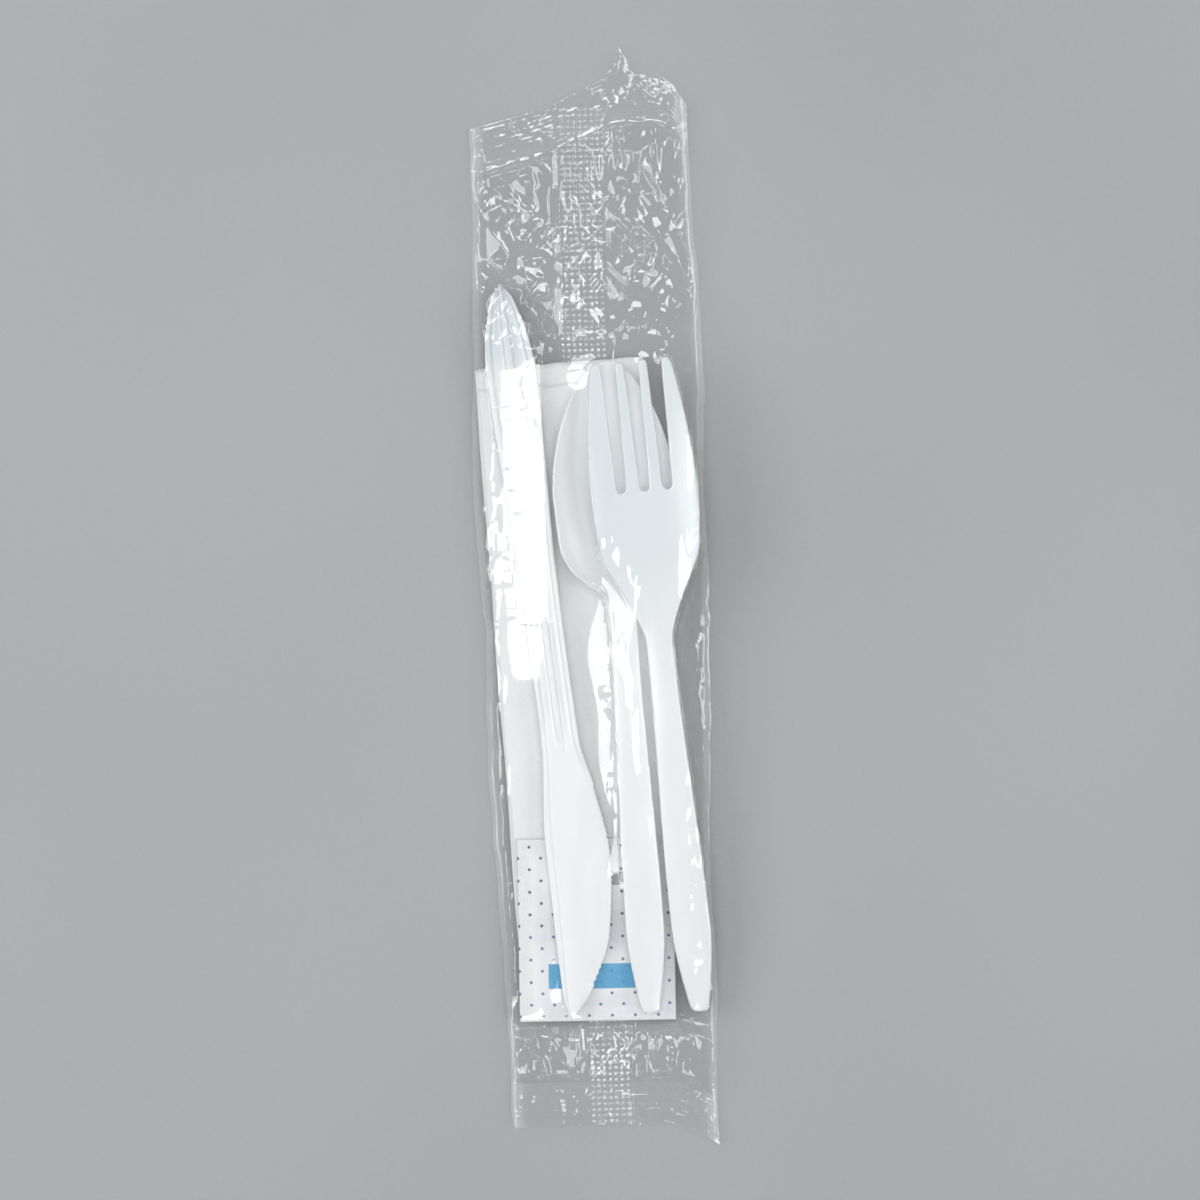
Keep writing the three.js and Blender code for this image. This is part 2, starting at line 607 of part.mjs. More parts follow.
// Film sleeve: a thin tube, its upper face draped over what it holds, open only as a slit in each end seal.
function filmGeometry(held) {
  const points = held.flatMap((mesh) => pointsOver(mesh, 2.5));
  const highest = highestOf(points, 1.5);
  const finLeft = finFold - finWidth;
  const left = napkinCorner.y + filmEmptyTop;
  const foot = sachetCorner.y - filmEmptyFoot;
  const topEnd = (u) => {
    const climb = sealSlant * Math.min((u + 1) / 1.7, 1);
    const drop = sealSlant * 0.5 * smoothstep(u, 0.72, 1);
    return left + climb - drop;
  };
  const footEnd = (u) => foot - cornerTail * smoothstep(u, 0.55, 1);

  // A strand of the upper seal's edge, one column wide, is pulled out to a point.
  const columnStep = 2 / (filmColumns - 1);
  const spikeColumn = Math.round(0.4 / columnStep - 0.5) * columnStep + columnStep / 2;
  const spikeAt = (u) => sealSpike * Math.max(0, 1 - Math.abs(u - spikeColumn) / columnStep);

  // Rows run between the two ends: close together in the seals, for their crimps, and wider between.
  const crimpStep = sealLength / (2 * crimpCount);
  const crimpRows = 2 * crimpCount + 1;
  const rows = crimpRows * 2 + filmPlainRows - 2;
  const rowPlace = (row, u) => {
    const fromTop = rows - 1 - row;
    if (row < crimpRows) return footEnd(u) + row * crimpStep;
    if (fromTop < crimpRows) return topEnd(u) - fromTop * crimpStep + (fromTop === 0 ? spikeAt(u) : 0);
    const share = (row - crimpRows + 1) / (filmPlainRows - 1);
    return lerp(footEnd(u) + sealLength, topEnd(u) - sealLength, share);
  };
  const crimpAt = (row) => {
    const fromEnd = Math.min(row, rows - 1 - row);
    return fromEnd < crimpRows && fromEnd % 2 ? crimpHeight : 0;
  };

  const sideAt = (y, side) =>
    points.reduce((most, p) => {
      const reach = side * p.x + filmSideRoom;
      return Math.max(most, reach - 0.1 * Math.max(0, Math.abs(p.y - y) - 5));
    }, filmFlatHalf) * side;

  // Between a seal and what the sleeve holds, the film is drawn straight down into the seal.
  const sealed = finLift + filmWall + sealPly;
  const steepest = (distance) =>
    points.reduce((most, p) => Math.max(most, (p.z + 2 * filmGap - sealed) / Math.max(distance(p), 1)), 0);
  const topSlope = steepest((p) => left - sealLength - p.y - 3);
  const footSlope = steepest((p) => p.y - (foot + sealLength) - 3);
  const drapeAt = (x, y, u) => {
    const toTop = Math.max(0, topEnd(u) - sealLength - y);
    const toFoot = Math.max(0, y - footEnd(u) - sealLength);
    const drawn = sealed + Math.min(topSlope * toTop, footSlope * toFoot);
    const sideways = lerp(1, filmSideFall, smoothstep(Math.abs(u), 0.6, 0.9));
    const draped = highest.reduce((most, p) => {
      const over = sideways * Math.max(0, Math.abs(p.x - x) - filmRest);
      const along = Math.max(0, filmLengthEase * Math.abs(p.y - y) - filmRest);
      return Math.max(most, p.z + filmGap - filmSlope * Math.hypot(over, along));
    }, sealed);
    return Math.min(draped, drawn);
  };

  // Creases of the loose film, each a straight ridge, at angles that never repeat.
  const creases = Array.from({ length: 9 }, (_, i) => {
    const angle = degToRad(20 + 137.5 * i);
    return { across: Math.cos(angle), along: Math.sin(angle), offset: ((i * 31) % 17) - 8 };
  });
  const creaseAt = (x, y) => {
    const nearTop = smoothstep(y, napkinCorner.y - 2, napkinCorner.y + 14);
    const nearFoot = 1 - smoothstep(y, sachetCorner.y - 12, sachetCorner.y + 2);
    const middle = nearTop > 0 ? left - filmEmptyTop / 2 : foot + filmEmptyFoot / 2;
    const tallest = creases.reduce((most, crease) => {
      const away = Math.abs(crease.across * x + crease.along * (y - middle) - crease.offset);
      return Math.max(most, 1 - away / creaseReach);
    }, 0);
    return creaseHeight * Math.max(nearTop, nearFoot, 0.3) * tallest;
  };

  // Gathers: pleats that run from each seal and die away, every other column of the film raised.
  const gatherAt = (column, y, u) => {
    const fromSeal = Math.min(topEnd(u) - y, y - footEnd(u)) - sealLength;
    const uneven = 0.55 + 0.45 * Math.cos(2.4 * column);
    return column % 2 ? gatherHeight * uneven * (1 - smoothstep(fromSeal, 0, gatherLength)) : 0;
  };

  const across = Array.from({ length: filmColumns }, (_, i) => (2 * i) / (filmColumns - 1) - 1);
  const loopAt = (row) => {
    const inSeal = Math.min(row, rows - 1 - row) < crimpRows;
    const crimp = crimpAt(row);
    const outer = [];
    const inner = [];
    const add = (x, y, z, inX, inZ) => {
      outer.push(new THREE.Vector3(x, y, z + crimp));
      inner.push(new THREE.Vector3(x + inX * filmWall, y, z + inZ * filmWall + crimp));
    };
    const edgeLeft = sideAt(rowPlace(row, -1), -1);
    const edgeRight = sideAt(rowPlace(row, 1), 1);
    const shareOf = (x) => (2 * (x - edgeLeft)) / (edgeRight - edgeLeft) - 1;
    const heights = across.map((u, column) => {
      const x = lerp(edgeLeft, edgeRight, (u + 1) / 2);
      const y = rowPlace(row, u);
      const loose = inSeal ? 0 : creaseAt(x, y) + gatherAt(column, y, u);
      return filmWall + drapeAt(x, y, u) + loose;
    });
    across.forEach((u, i) => {
      const inX = i === 0 ? 1 : i === filmColumns - 1 ? -1 : 0;
      add(lerp(edgeLeft, edgeRight, (u + 1) / 2), rowPlace(row, u), heights[i], inX, -1);
    });
    add(edgeRight + 0.2, rowPlace(row, 1), heights.at(-1) * 0.5, -1, 0);
    const finRight = finFold;
    const floor = [
      [edgeRight - 0.5, 0],
      [lerp(finRight, edgeRight, 0.5), 0],
      [finRight + 1.3, 0],
      [finRight + 0.2, finLift],
      [finLeft - 0.2, finLift],
      [finLeft - 1.3, 0],
      [lerp(finLeft, edgeLeft, 0.5), 0],
      [edgeLeft + 0.5, 0],
    ];
    floor.forEach(([x, z], i) => {
      const inX = i === 0 ? -1 : i === floor.length - 1 ? 1 : 0;
      add(x, rowPlace(row, shareOf(x)), z, inX, 1);
    });
    add(edgeLeft - 0.2, rowPlace(row, -1), heights[0] * 0.5, 1, 0);
    return { outer, inner };
  };

  const loops = Array.from({ length: rows }, (_, row) => loopAt(row));
  const count = loops[0].outer.length;
  const pointsAll = [...loops.flatMap((loop) => loop.outer), ...loops.flatMap((loop) => loop.inner)];
  const innerStart = rows * count;
  const index = [];
  const quad = (a, b, c, d) => index.push(a, b, c, a, c, d);
  for (let i = 0; i < count; i++) {
    const j = (i + 1) % count;
    for (let row = 0; row + 1 < rows; row++) {
      const here = row * count;
      const next = here + count;
      quad(here + j, next + j, next + i, here + i);
      quad(innerStart + here + j, innerStart + here + i, innerStart + next + i, innerStart + next + j);
    }
    const last = (rows - 1) * count;
    quad(j, i, innerStart + i, innerStart + j);
    quad(last + i, last + j, innerStart + last + j, innerStart + last + i);
  }
  const tube = solidOf(bareGeometry(pointsAll, index));

  // The fin: two plies folded flat under the back, joined to it along their root.
  const finSection = [
    [finLeft, finThick],
    [finFold - finThick, finThick],
    [finFold - finThick, finLift + filmWall / 2],
    [finFold, finLift + filmWall / 2],
    [finFold, 0],
    [finLeft, 0],
  ];
  const finRing = (y) => finSection.map(([x, z]) => new THREE.Vector3(x, y, z));
  const fin = solidOf(loft([finRing(foot + 0.5), finRing(left + 0.4 * sealSlant)]));
  return geometryOf(tube.add(fin));
}

const contents = [napkin, sachet, spoon, fork, knife];
const film = named("film_sleeve", filmGeometry(contents), {
  color: 0xf4f7f8,
  roughness: 0.1,
  transparent: true,
  opacity: 0.3,
});

// The part stands with the middle of its outline over the origin and its lowest point at zero.
const pack = new THREE.Group();
pack.name = "cutlery_pack";
pack.add(film, ...contents);
const bounds = new THREE.Box3().setFromObject(pack);
const centre = bounds.getCenter(new THREE.Vector3());
pack.children.forEach(({ geometry }) => {
  geometry.translate(-centre.x, -centre.y, -bounds.min.z);
  geometry.computeVertexNormals();
});

export default pack;
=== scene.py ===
import math
import bpy
import numpy as np
from mathutils import Matrix, Vector
from mathutils.geometry import delaunay_2d_cdt


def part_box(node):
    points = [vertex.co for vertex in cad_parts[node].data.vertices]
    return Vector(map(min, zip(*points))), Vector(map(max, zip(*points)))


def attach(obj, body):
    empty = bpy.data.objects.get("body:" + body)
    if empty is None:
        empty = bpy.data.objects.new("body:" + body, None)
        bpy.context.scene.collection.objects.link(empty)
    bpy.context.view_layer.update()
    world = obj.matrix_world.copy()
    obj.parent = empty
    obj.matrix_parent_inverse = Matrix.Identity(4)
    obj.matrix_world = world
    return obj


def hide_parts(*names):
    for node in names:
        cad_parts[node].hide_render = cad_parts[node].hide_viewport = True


# wrapped cutlery pack: clear film sleeve round fork, spoon, knife, folded napkin and twin sachet
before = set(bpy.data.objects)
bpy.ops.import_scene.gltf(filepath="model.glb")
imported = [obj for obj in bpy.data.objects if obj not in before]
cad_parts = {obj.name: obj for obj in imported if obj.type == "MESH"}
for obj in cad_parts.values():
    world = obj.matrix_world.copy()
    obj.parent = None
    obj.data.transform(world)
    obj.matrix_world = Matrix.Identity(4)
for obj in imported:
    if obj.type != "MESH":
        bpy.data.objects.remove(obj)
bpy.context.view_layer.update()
mm = 0.001
print("frame loaded:", sorted(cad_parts))


# shader sums: a wrapped socket takes plain arithmetic
class Wire:
    def __init__(self, tree, socket=None):
        self.tree = tree
        self.socket = socket

    def node(self, kind, settings=None, inputs=None, out=0):
        made = self.tree.nodes.new("ShaderNode" + kind)
        for name, value in (settings or {}).items():
            setattr(made, name, value)
        for name, value in (inputs or {}).items():
            if isinstance(value, Wire):
                self.tree.links.new(value.socket, made.inputs[name])
            else:
                made.inputs[name].default_value = value
        return Wire(self.tree, made.outputs[out])

    def math(self, operation, a, b=0.0):
        return self.node("Math", {"operation": operation}, {0: a, 1: b})

    def __add__(self, other):
        return self.math("ADD", self, other)

    def __radd__(self, other):
        return self.math("ADD", other, self)

    def __sub__(self, other):
        return self.math("SUBTRACT", self, other)

    def __rsub__(self, other):
        return self.math("SUBTRACT", other, self)

    def __mul__(self, other):
        return self.math("MULTIPLY", self, other)

    def __rmul__(self, other):
        return self.math("MULTIPLY", other, self)

    def __truediv__(self, other):
        return self.math("DIVIDE", self, other)

    def __abs__(self):
        return self.math("ABSOLUTE", self)

    def least(self, other):
        return self.math("MINIMUM", self, other)

    def most(self, other):
        return self.math("MAXIMUM", self, other)

    def step(self, low, high):  # 0 below low, 1 above high, smooth between
        return self.node("MapRange", {"interpolation_type": "SMOOTHSTEP"},
                         {"Value": self, "From Min": low, "From Max": high})

    def vector(self, operation, a, b=(0.0, 0.0, 0.0), scale=1.0):
        return self.node("VectorMath", {"operation": operation}, {0: a, 1: b, 3: scale})

    def mixColour(self, share, a, b):
        return self.node("Mix", {"data_type": "RGBA"}, {0: share, 6: a, 7: b}, 2)

    def axis(self, which):
        return self.node("SeparateXYZ", None, {0: self}, which)

    def noise(self, place, scale, detail=3.0, rough=0.55):
        return self.node("TexNoise", None,
                         {"Vector": place, "Scale": scale, "Detail": detail, "Roughness": rough})

    def bump(self, height, depth):
        return self.node("Bump", None, {"Height": height, "Distance": depth})


def startMaterial(name):
    material = bpy.data.materials.new(name)
    material.use_nodes = True
    tree = material.node_tree
    tree.nodes.clear()
    wire = Wire(tree)
    # millimetres of the piece's own frame
    place = wire.vector("SCALE", wire.node("TexCoord", None, None, 3), scale=1000.0)
    return material, wire, place


def endMaterial(wire, surface):
    out = wire.tree.nodes.new("ShaderNodeOutputMaterial")
    wire.tree.links.new(surface.socket, out.inputs["Surface"])


# curves and small sums on arrays
def smooth(low, high, at):
    s = np.clip((np.asarray(at, float) - low) / (high - low), 0, 1)
    return s * s * (3 - 2 * s)


def mix(a, b, share):
    return a + (b - a) * share


def through(*pairs):  # smooth curve through the pairs that never overshoots
    at, value = np.array(pairs, float).T
    steps = np.diff(value) / np.diff(at)
    slopes = np.concatenate([steps[:1], np.zeros(len(at) - 2), steps[-1:]])
    rising = steps[:-1] * steps[1:] > 0
    total = np.where(rising, steps[:-1] + steps[1:], 1)
    slopes[1:-1] = np.where(rising, 2 * steps[:-1] * steps[1:] / total, 0)

    def curve(where):
        where = np.asarray(where, float)
        i = np.clip(np.searchsorted(at, where) - 1, 0, len(at) - 2)
        span = at[i + 1] - at[i]
        s = np.clip((where - at[i]) / span, 0, 1)
        bend = span * (slopes[i] * s * (1 - s) ** 2 - slopes[i + 1] * s * s * (1 - s))
        return value[i] + (value[i + 1] - value[i]) * s * s * (3 - 2 * s) + bend

    return curve


def gridFaces(rows, columns, closed=False):
    last = columns if closed else columns - 1
    row, column = np.meshgrid(np.arange(rows - 1), np.arange(last), indexing="ij")
    a = row * columns + column
    b = row * columns + (column + 1) % columns
    return np.stack([a, b, b + columns, a + columns], -1).reshape(-1, 4)


def makeObject(name, points, faces, scale=mm):
    mesh = bpy.data.meshes.new(name)
    mesh.from_pydata((np.asarray(points) * scale).tolist(), [], [list(f) for f in faces])
    mesh.validate()
    mesh.polygons.foreach_set("use_smooth", [True] * len(mesh.polygons))
    made = bpy.data.objects.new(name, mesh)
    bpy.context.scene.collection.objects.link(made)
    return made


def dress(piece, material, node):
    piece.data.materials.clear()
    piece.data.materials.append(material)
    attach(piece, "root")
    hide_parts(node)
    return piece


def layFlat(piece, node, lean, wide, ends):
    # turn a flat piece and put the middle of its outline over that of the node's box
    low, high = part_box(node)
    turnBy = Matrix.Rotation(math.radians(lean), 3, "Z")
    corners = [turnBy @ Vector((x, y, 0)) for x in (0, -wide) for y in ends]
    middle = [(min(c[i] for c in corners) + max(c[i] for c in corners)) / 2 * mm for i in (0, 1)]
    piece.rotation_euler.z = math.radians(lean)
    piece.location = ((low.x + high.x) / 2 - middle[0], (low.y + high.y) / 2 - middle[1], low.z)


# camera, floor and lamps
stage = {
    "viewSide": 276.0,       # width of the view at the pack, mm
    "viewHeight": 1000.0,
    "viewBase": 5.0,         # the width is measured this far above the floor, mm
    "viewCentre": (1.87, 0.09),
    "viewTurn": 1.9,         # pack leans this much in the view, degrees
    "viewEnd": 20.0,
    "sensor": 36.0,
    "floorGrey": (0.385, 0.387, 0.392),
    "floorSide": 3000.0,
    "floorDrop": 0.02,
    "sky": (0.97, 0.985, 1.0, 1),
    "world": 0.30,
    "clearBounces": 24,      # layers of film a ray may pass
    # place in metres, size, power
    # the shine lamps are seen in gloss only, the overhead one never in gloss
    "lamps": {
        "overhead": ((0.0, 0.0, 1.7), (1.2, 1.2), 13.5),
        "keySoftbox": ((-0.74, 0.10, 0.67), (0.62, 0.50), 3.2),
        "fillSoftbox": ((0.72, -0.05, 0.69), (0.5, 0.40), 2.0),
        "keyShine": ((-0.74, 0.10, 0.67), (0.80, 0.56), 10.0),
        "fillShine": ((0.72, -0.05, 0.69), (0.64, 0.46), 6.4),
        "endShine": ((0.05, 0.72, 0.69), (0.6, 0.34), 4.2),
    },
}


def makeStage():
    eye = bpy.data.cameras.new("view")
    eye.sensor_width = stage["sensor"]
    eye.lens = stage["sensor"] * stage["viewHeight"] / stage["viewSide"]
    eye.clip_end = stage["viewEnd"]
    camera = bpy.data.objects.new("view", eye)
    centreX, centreY = stage["viewCentre"]
    camera.location = (centreX * mm, centreY * mm, (stage["viewHeight"] + stage["viewBase"]) * mm)
    camera.rotation_euler = (0, 0, math.radians(-stage["viewTurn"]))
    bpy.context.scene.collection.objects.link(camera)
    bpy.context.scene.camera = camera

    def lamp(name, place, size, power):
        light = bpy.data.lights.new(name, "AREA")
        light.shape = "RECTANGLE"
        light.size, light.size_y = size
        light.energy = power
        made = bpy.data.objects.new(name, light)
        made.location = place
        made.rotation_euler = (-Vector(place)).to_track_quat("-Z", "Y").to_euler()
        bpy.context.scene.collection.objects.link(made)
        return made

    for name, (place, size, power) in stage["lamps"].items():
        made = lamp(name, place, size, power)
        made.visible_diffuse = not name.endswith("Shine")
        made.visible_glossy = name != "overhead"

    world = bpy.data.worlds.new("studio")
    world.use_nodes = True
    sky = world.node_tree.nodes["Background"]
    sky.inputs["Color"].default_value = stage["sky"]
    sky.inputs["Strength"].default_value = stage["world"]
    bpy.context.scene.world = world

    material, wire, place = startMaterial("greyPaper")
    fibre = wire.noise(place, 0.9, 2.0, 0.65)
    cloud = wire.noise(place, 0.012, 0.0)
    dark = tuple(0.95 * c for c in stage["floorGrey"]) + (1,)
    pale = tuple(1.05 * c for c in stage["floorGrey"]) + (1,)
    colour = wire.mixColour((fibre - 0.5) * 0.8 + cloud, dark, pale)
    paper = wire.node("BsdfPrincipled", None, {"Base Color": colour, "Roughness": 0.9,
                                               "Normal": wire.bump(fibre, 0.00008)})
    endMaterial(wire, paper)
    side = stage["floorSide"]
    corners = [(-side, -side, 0), (side, -side, 0), (side, side, 0), (-side, side, 0)]
    floor = makeObject("floor", corners, [(0, 1, 2, 3)])
    floor.location.z = -stage["floorDrop"] * mm
    floor.data.materials.append(material)
    bpy.context.scene.view_settings.view_transform = "Standard"
    bpy.context.scene.cycles.transparent_max_bounces = stage["clearBounces"]


makeStage()
print("stage ready")

# moulded cutlery: one handle section for all three
moulding = {
    "crown": 0.7,
    "wall": 1.1,
    "flange": 2.1,
    "columns": 45,
    "voxel": 0.3,
    "soften": 5,
    "cutLow": -8,
    "cutHigh": 24,
    "cutRound": 14,          # points round the closed end of a slot
    "white": (0.91, 0.92, 0.922, 1),
    "shade": (0.87, 0.885, 0.892, 1),
}


def relief(u):  # two rims and a middle rib on the back of a handle
    side = np.abs(u)
    return smooth(0.66, 0.80, side) + 1 - smooth(0.12, 0.24, side)


def stations(*runs):  # rows along a piece, each run starting where the one before it ends
    parts = [np.linspace(*run)[:-1] for run in runs[:-1]]
    return np.concatenate(parts + [np.linspace(*runs[-1])])


def frontUp(ys, half, height, dish, power, wall, head):
    u = np.linspace(-1, 1, moulding["columns"])[None, :]
    ys = ys[:, None]
    share = head(ys)
    front = height(ys) + dish(ys) * np.abs(u) ** power
    front = front + moulding["crown"] * (1 - share) * (1 - np.abs(u) ** 1.5)
    channel = front - mix(moulding["wall"], wall, share)
    rim = np.minimum(channel, height(ys) - moulding["flange"])
    back = mix(channel, rim, relief(u) * (1 - share))
    x = u * half(ys)
    y = ys + 0 * u
    over = np.stack([x, y, front], -1)
    under = np.stack([x, y, back], -1)[:, ::-1]
    return np.concatenate([over, under], 1)


def slotCutter(middle, shape):
    # open end with flared lips, then the closed end's half round
    turn = np.linspace(math.pi, 2 * math.pi, moulding["cutRound"])
    closed, flare, end, base, mouth, tip = shape
    lip = [(0, flare), (0.25, end - 0.3 * tip), (1, end), (1, end + 1)]
    plan = [(middle + mouth + share * tip, y) for share, y in lip]
    plan += [(middle - mouth - share * tip, y) for share, y in lip[::-1]]
    plan += [(middle + base * math.cos(a), closed + base * math.sin(a)) for a in turn]
    count = len(plan)
    points = [(x, y, z) for z in (moulding["cutLow"], moulding["cutHigh"]) for x, y in plan]
    faces = [[i, (i + 1) % count, count + (i + 1) % count, count + i] for i in range(count)]
    faces += [list(range(count))[::-1], list(range(count, 2 * count))]
    return makeObject("slotCutter", points, faces, 1)


def mould(name, rings, cutters, soften, lean, pitch, roll):
    rows, count = rings.shape[:2]
    last = (rows - 1) * count
    faces = gridFaces(rows, count, True).tolist()
    faces += [list(range(count))[::-1], list(range(last, last + count))]
    blank = makeObject(name + "Blank", rings.reshape(-1, 3), faces, 1)
    for cutter in cutters:
        cut = blank.modifiers.new("slot", "BOOLEAN")
        cut.operation = "DIFFERENCE"
        cut.solver = "EXACT"
        cut.object = cutter
    skin = blank.modifiers.new("skin", "REMESH")
    skin.mode = "VOXEL"
    skin.voxel_size = moulding["voxel"]
    soft = blank.modifiers.new("soft", "SMOOTH")
    soft.factor = 0.5
    soft.iterations = soften
    graph = bpy.context.evaluated_depsgraph_get()
    mesh = bpy.data.meshes.new_from_object(blank.evaluated_get(graph))
    for spare in [blank, *cutters]:
        bpy.data.objects.remove(spare)
    turn = (Matrix.Rotation(math.radians(lean), 3, "Z") @ Matrix.Rotation(math.radians(pitch), 3, "X")
            @ Matrix.Rotation(math.radians(roll), 3, "Y"))
    flat = np.zeros(len(mesh.vertices) * 3)
    mesh.vertices.foreach_get("co", flat)
    points = flat.reshape(-1, 3) @ np.array(turn).T * mm
    low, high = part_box(name)
    points += (np.array(low) + np.array(high)) / 2 - (points.min(0) + points.max(0)) / 2
    mesh.vertices.foreach_set("co", points.ravel())
    mesh.polygons.foreach_set("use_smooth", [True] * len(mesh.polygons))
    mesh.name = name + "Moulded"
    made = bpy.data.objects.new(name + "Moulded", mesh)
    bpy.context.scene.collection.objects.link(made)
    print(name, "moulded:", len(mesh.polygons), "faces")
    return made


def plasticMaterial(name, seed, tint, thin):
    material, wire, place = startMaterial(name)
    low, high, much = thin      # painted shade: stretch along the pack where the thin wall would let the dark floor through, painted darker
    deep = place.axis(1).step(low, high) * much
    moved = wire.vector("ADD", place, (seed, 2.0 * seed, 0.0))
    flow = wire.noise(wire.vector("MULTIPLY", moved, (1.0, 0.18, 1.0)), 0.22, 3.0)
    grain = wire.noise(moved, 2.6, 4.0, 0.6)
    scuff = wire.noise(wire.vector("MULTIPLY", moved, (1.0, 0.3, 1.0)), 1.1, 5.0, 0.7).step(0.58, 0.75)
    colour = wire.mixColour(flow.step(0.35, 0.7), moulding["shade"], moulding["white"])
    # painted shade: the thin stretch is mixed toward the darker tint, for the floor seen through the plastic
    colour = wire.mixColour(deep, colour, tint)
    gloss = 0.30 + grain * 0.10 + scuff * 0.12
    height = grain * 0.25 + flow * 1.6
    shader = wire.node("BsdfPrincipled", None, {
        "Base Color": colour, "Roughness": gloss, "IOR": 1.5,
        "Normal": wire.bump(height, 0.00006)})
    endMaterial(wire, shader)
    return material


# lay: lean, pitch and roll in degrees; look: seed, painted shade tint and stretch of the thin part that it
# darkens
fork = {
    "stations": ((0, 2.2, 6), (2.2, 148.3, 220), (148.3, 150, 6)),
    "half": through((0, 1.32), (0.7, 1.98), (2.2, 2.42), (20, 4.5), (85, 3.05), (94.8, 6.01),
                    (106.7, 11.375), (120, 12.3), (148.3, 9.4), (150, 8.55)),
    "height": through((0, 2.1), (38.25, 5.33), (85, 7.4), (113, 4.1), (124, 3.8), (150, 6)),
    "dish": lambda y: 2.2 * smooth(85, 120, y) * (1 - 0.75 * smooth(120, 150, y)),
    "dishPower": 2.6,
    "wall": 1.2,
    "head": lambda y: smooth(81, 99, y),
    "slots": (-5.3, 0.0, 5.3),
    "slotShape": (121.1, 149.15, 150.0, 1.1, 1.65, 0.85),
    "lay": (4.16, 1.456, -5.0),
    "look": (3.0, (0.72, 0.76, 0.78, 1), (-25.0, 15.0, 0.8)),
}
spoon = {
    "stations": ((0, 2.2, 6), (2.2, 146, 220), (146, 149.75, 16)),
    "widest": (119.6, 14.2),
    "nose": (30.4, 1.75),    # length and squareness of the bowl's front
    "rear": through((0, 1.32), (0.7, 1.98), (2.2, 2.42), (20, 4.4), (84, 3.1), (95.03, 3.77),
                    (98.29, 6.87), (101.84, 10.87), (107.46, 13.42), (119.6, 14.2)),
    "depth": through((88, 0), (103.32, 3.78), (122.6, 5.4), (138.45, 3.35), (150, 0)),
    "rim": through((0, 2.1), (40.5, 5.32), (86, 7.6), (119.6, 6.5), (150, 5.9)),
    "dishPower": 2.3,
    "wall": 1.1,
    "head": lambda y: smooth(78, 94, y),
    "lay": (2.1, -1.174, 0.0),
    "look": (17.0, (0.90, 0.915, 0.925, 1), (-10.0, 20.0, 0.5)),
}
knifeHandle = [(0, 0.8), (0.8, 1.5), (2.4, 2.5), (7, 3.9), (11.5, 4.95), (19, 5.7), (76, 4.15), (104, 4.25)]
knife = {
    "stations": ((0, 2.4, 7), (2.4, 115, 170)),
    "toothed": (115, 167),
    "tip": (167, 168.5, 6),
    "spine": through(*knifeHandle, (128.5, 6.5), (162.5, 7), (168.5, 6.2)),
    "edge": through(*knifeHandle, (117.5, 6.64), (131, 8.3), (150.5, 5.7), (161, 0.8), (166.9, -3.3),
                    (168.5, -5.4)),
    "teeth": (116.15, 161.5, 1.3, 0.55),
    "toothRows": 6,
    "heel": (101, 109),
    "heelSlant": 5,
    "bladeThick": (0.7, 1.3),
    "spineRim": 1.9,
    "soften": 2,             # less than the others, to keep the teeth
    "lay": (185.7, 1.229, 0.0),
    "look": (29.0, (0.68, 0.72, 0.745, 1), (50.0, 59.0, 0.75)),
}


def makeFork():
    rings = frontUp(stations(*fork["stations"]), fork["half"], fork["height"], fork["dish"],
                    fork["dishPower"], fork["wall"], fork["head"])
    cutters = [slotCutter(middle, fork["slotShape"]) for middle in fork["slots"]]
    piece = mould("fork", rings, cutters, moulding["soften"], *fork["lay"])
    return dress(piece, plasticMaterial("forkPlastic", *fork["look"]), "fork")


def makeSpoon():
    widestAt, widest = spoon["widest"]
    noseLong, square = spoon["nose"]

    def half(y):
        ahead = np.clip(y - widestAt, 0, noseLong) / noseLong
        nose = widest * np.clip(1 - ahead ** square, 0, 1) ** (1 / square)
        return np.where(y <= widestAt, spoon["rear"](y), nose)

    def height(y):
        return spoon["rim"](y) - spoon["depth"](y)

    rings = frontUp(stations(*spoon["stations"]), half, height, spoon["depth"],
                    spoon["dishPower"], spoon["wall"], spoon["head"])
    piece = mould("spoon", rings, [], moulding["soften"], *spoon["lay"])
    return dress(piece, plasticMaterial("spoonPlastic", *spoon["look"]), "spoon")


def makeKnife():
    start, end, pitch, depth = knife["teeth"]
    ys = np.concatenate([stations(*knife["stations"])[:-1],
                         np.arange(*knife["toothed"], pitch / knife["toothRows"]), np.linspace(*knife["tip"])])
    saw = np.abs(((ys - start) / pitch) % 1 - 0.5) * 2
    bite = depth * (1 - saw) * (ys > start) * (ys < end)
    spine = knife["spine"](ys)
    edge = knife["edge"](ys) - bite
    u = np.linspace(-1, 1, moulding["columns"])[None, :]
    y = ys[:, None]
    blade = smooth(*knife["heel"], y + knife["heelSlant"] * u)
    foot = moulding["crown"] * np.abs(u) ** 1.5 * (1 - blade)
    flat = mix(*knife["bladeThick"], smooth(-1, -0.3, u))
    channel = foot + mix(moulding["wall"], flat, blade)
    rim = moulding["crown"] + moulding["flange"]
    spineRim = mix(channel, knife["spineRim"], smooth(0.74, 0.82, u))
    back = mix(mix(channel, rim, relief(u)), spineRim, blade)
    x = ((spine - edge) / 2)[:, None] + u * ((spine + edge) / 2)[:, None]
    along = y + 0 * u
    over = np.stack([x, along, back], -1)
    under = np.stack([x, along, foot], -1)[:, ::-1]
    piece = mould("knife", np.concatenate([over, under], 1), [], knife["soften"], *knife["lay"])
    return dress(piece, plasticMaterial("knifePlastic", *knife["look"]), "knife")


contents = [makeFork(), makeSpoon(), makeKnife()]

# folded napkin: one tissue sheet laid back and forth in four layers
napkin = {
    "width": 38.7,
    "length": 134.0,
    "layers": 4,
    "base": 0.2,
    "pitch": 0.5,
    "sheet": 0.24,
    "step": 4.6,
    "lean": 2.5,
    "rows": 110,
    "columns": 44,
    "white": (0.91, 0.912, 0.915, 1),
    "shade": (0.86, 0.865, 0.87, 1),
}


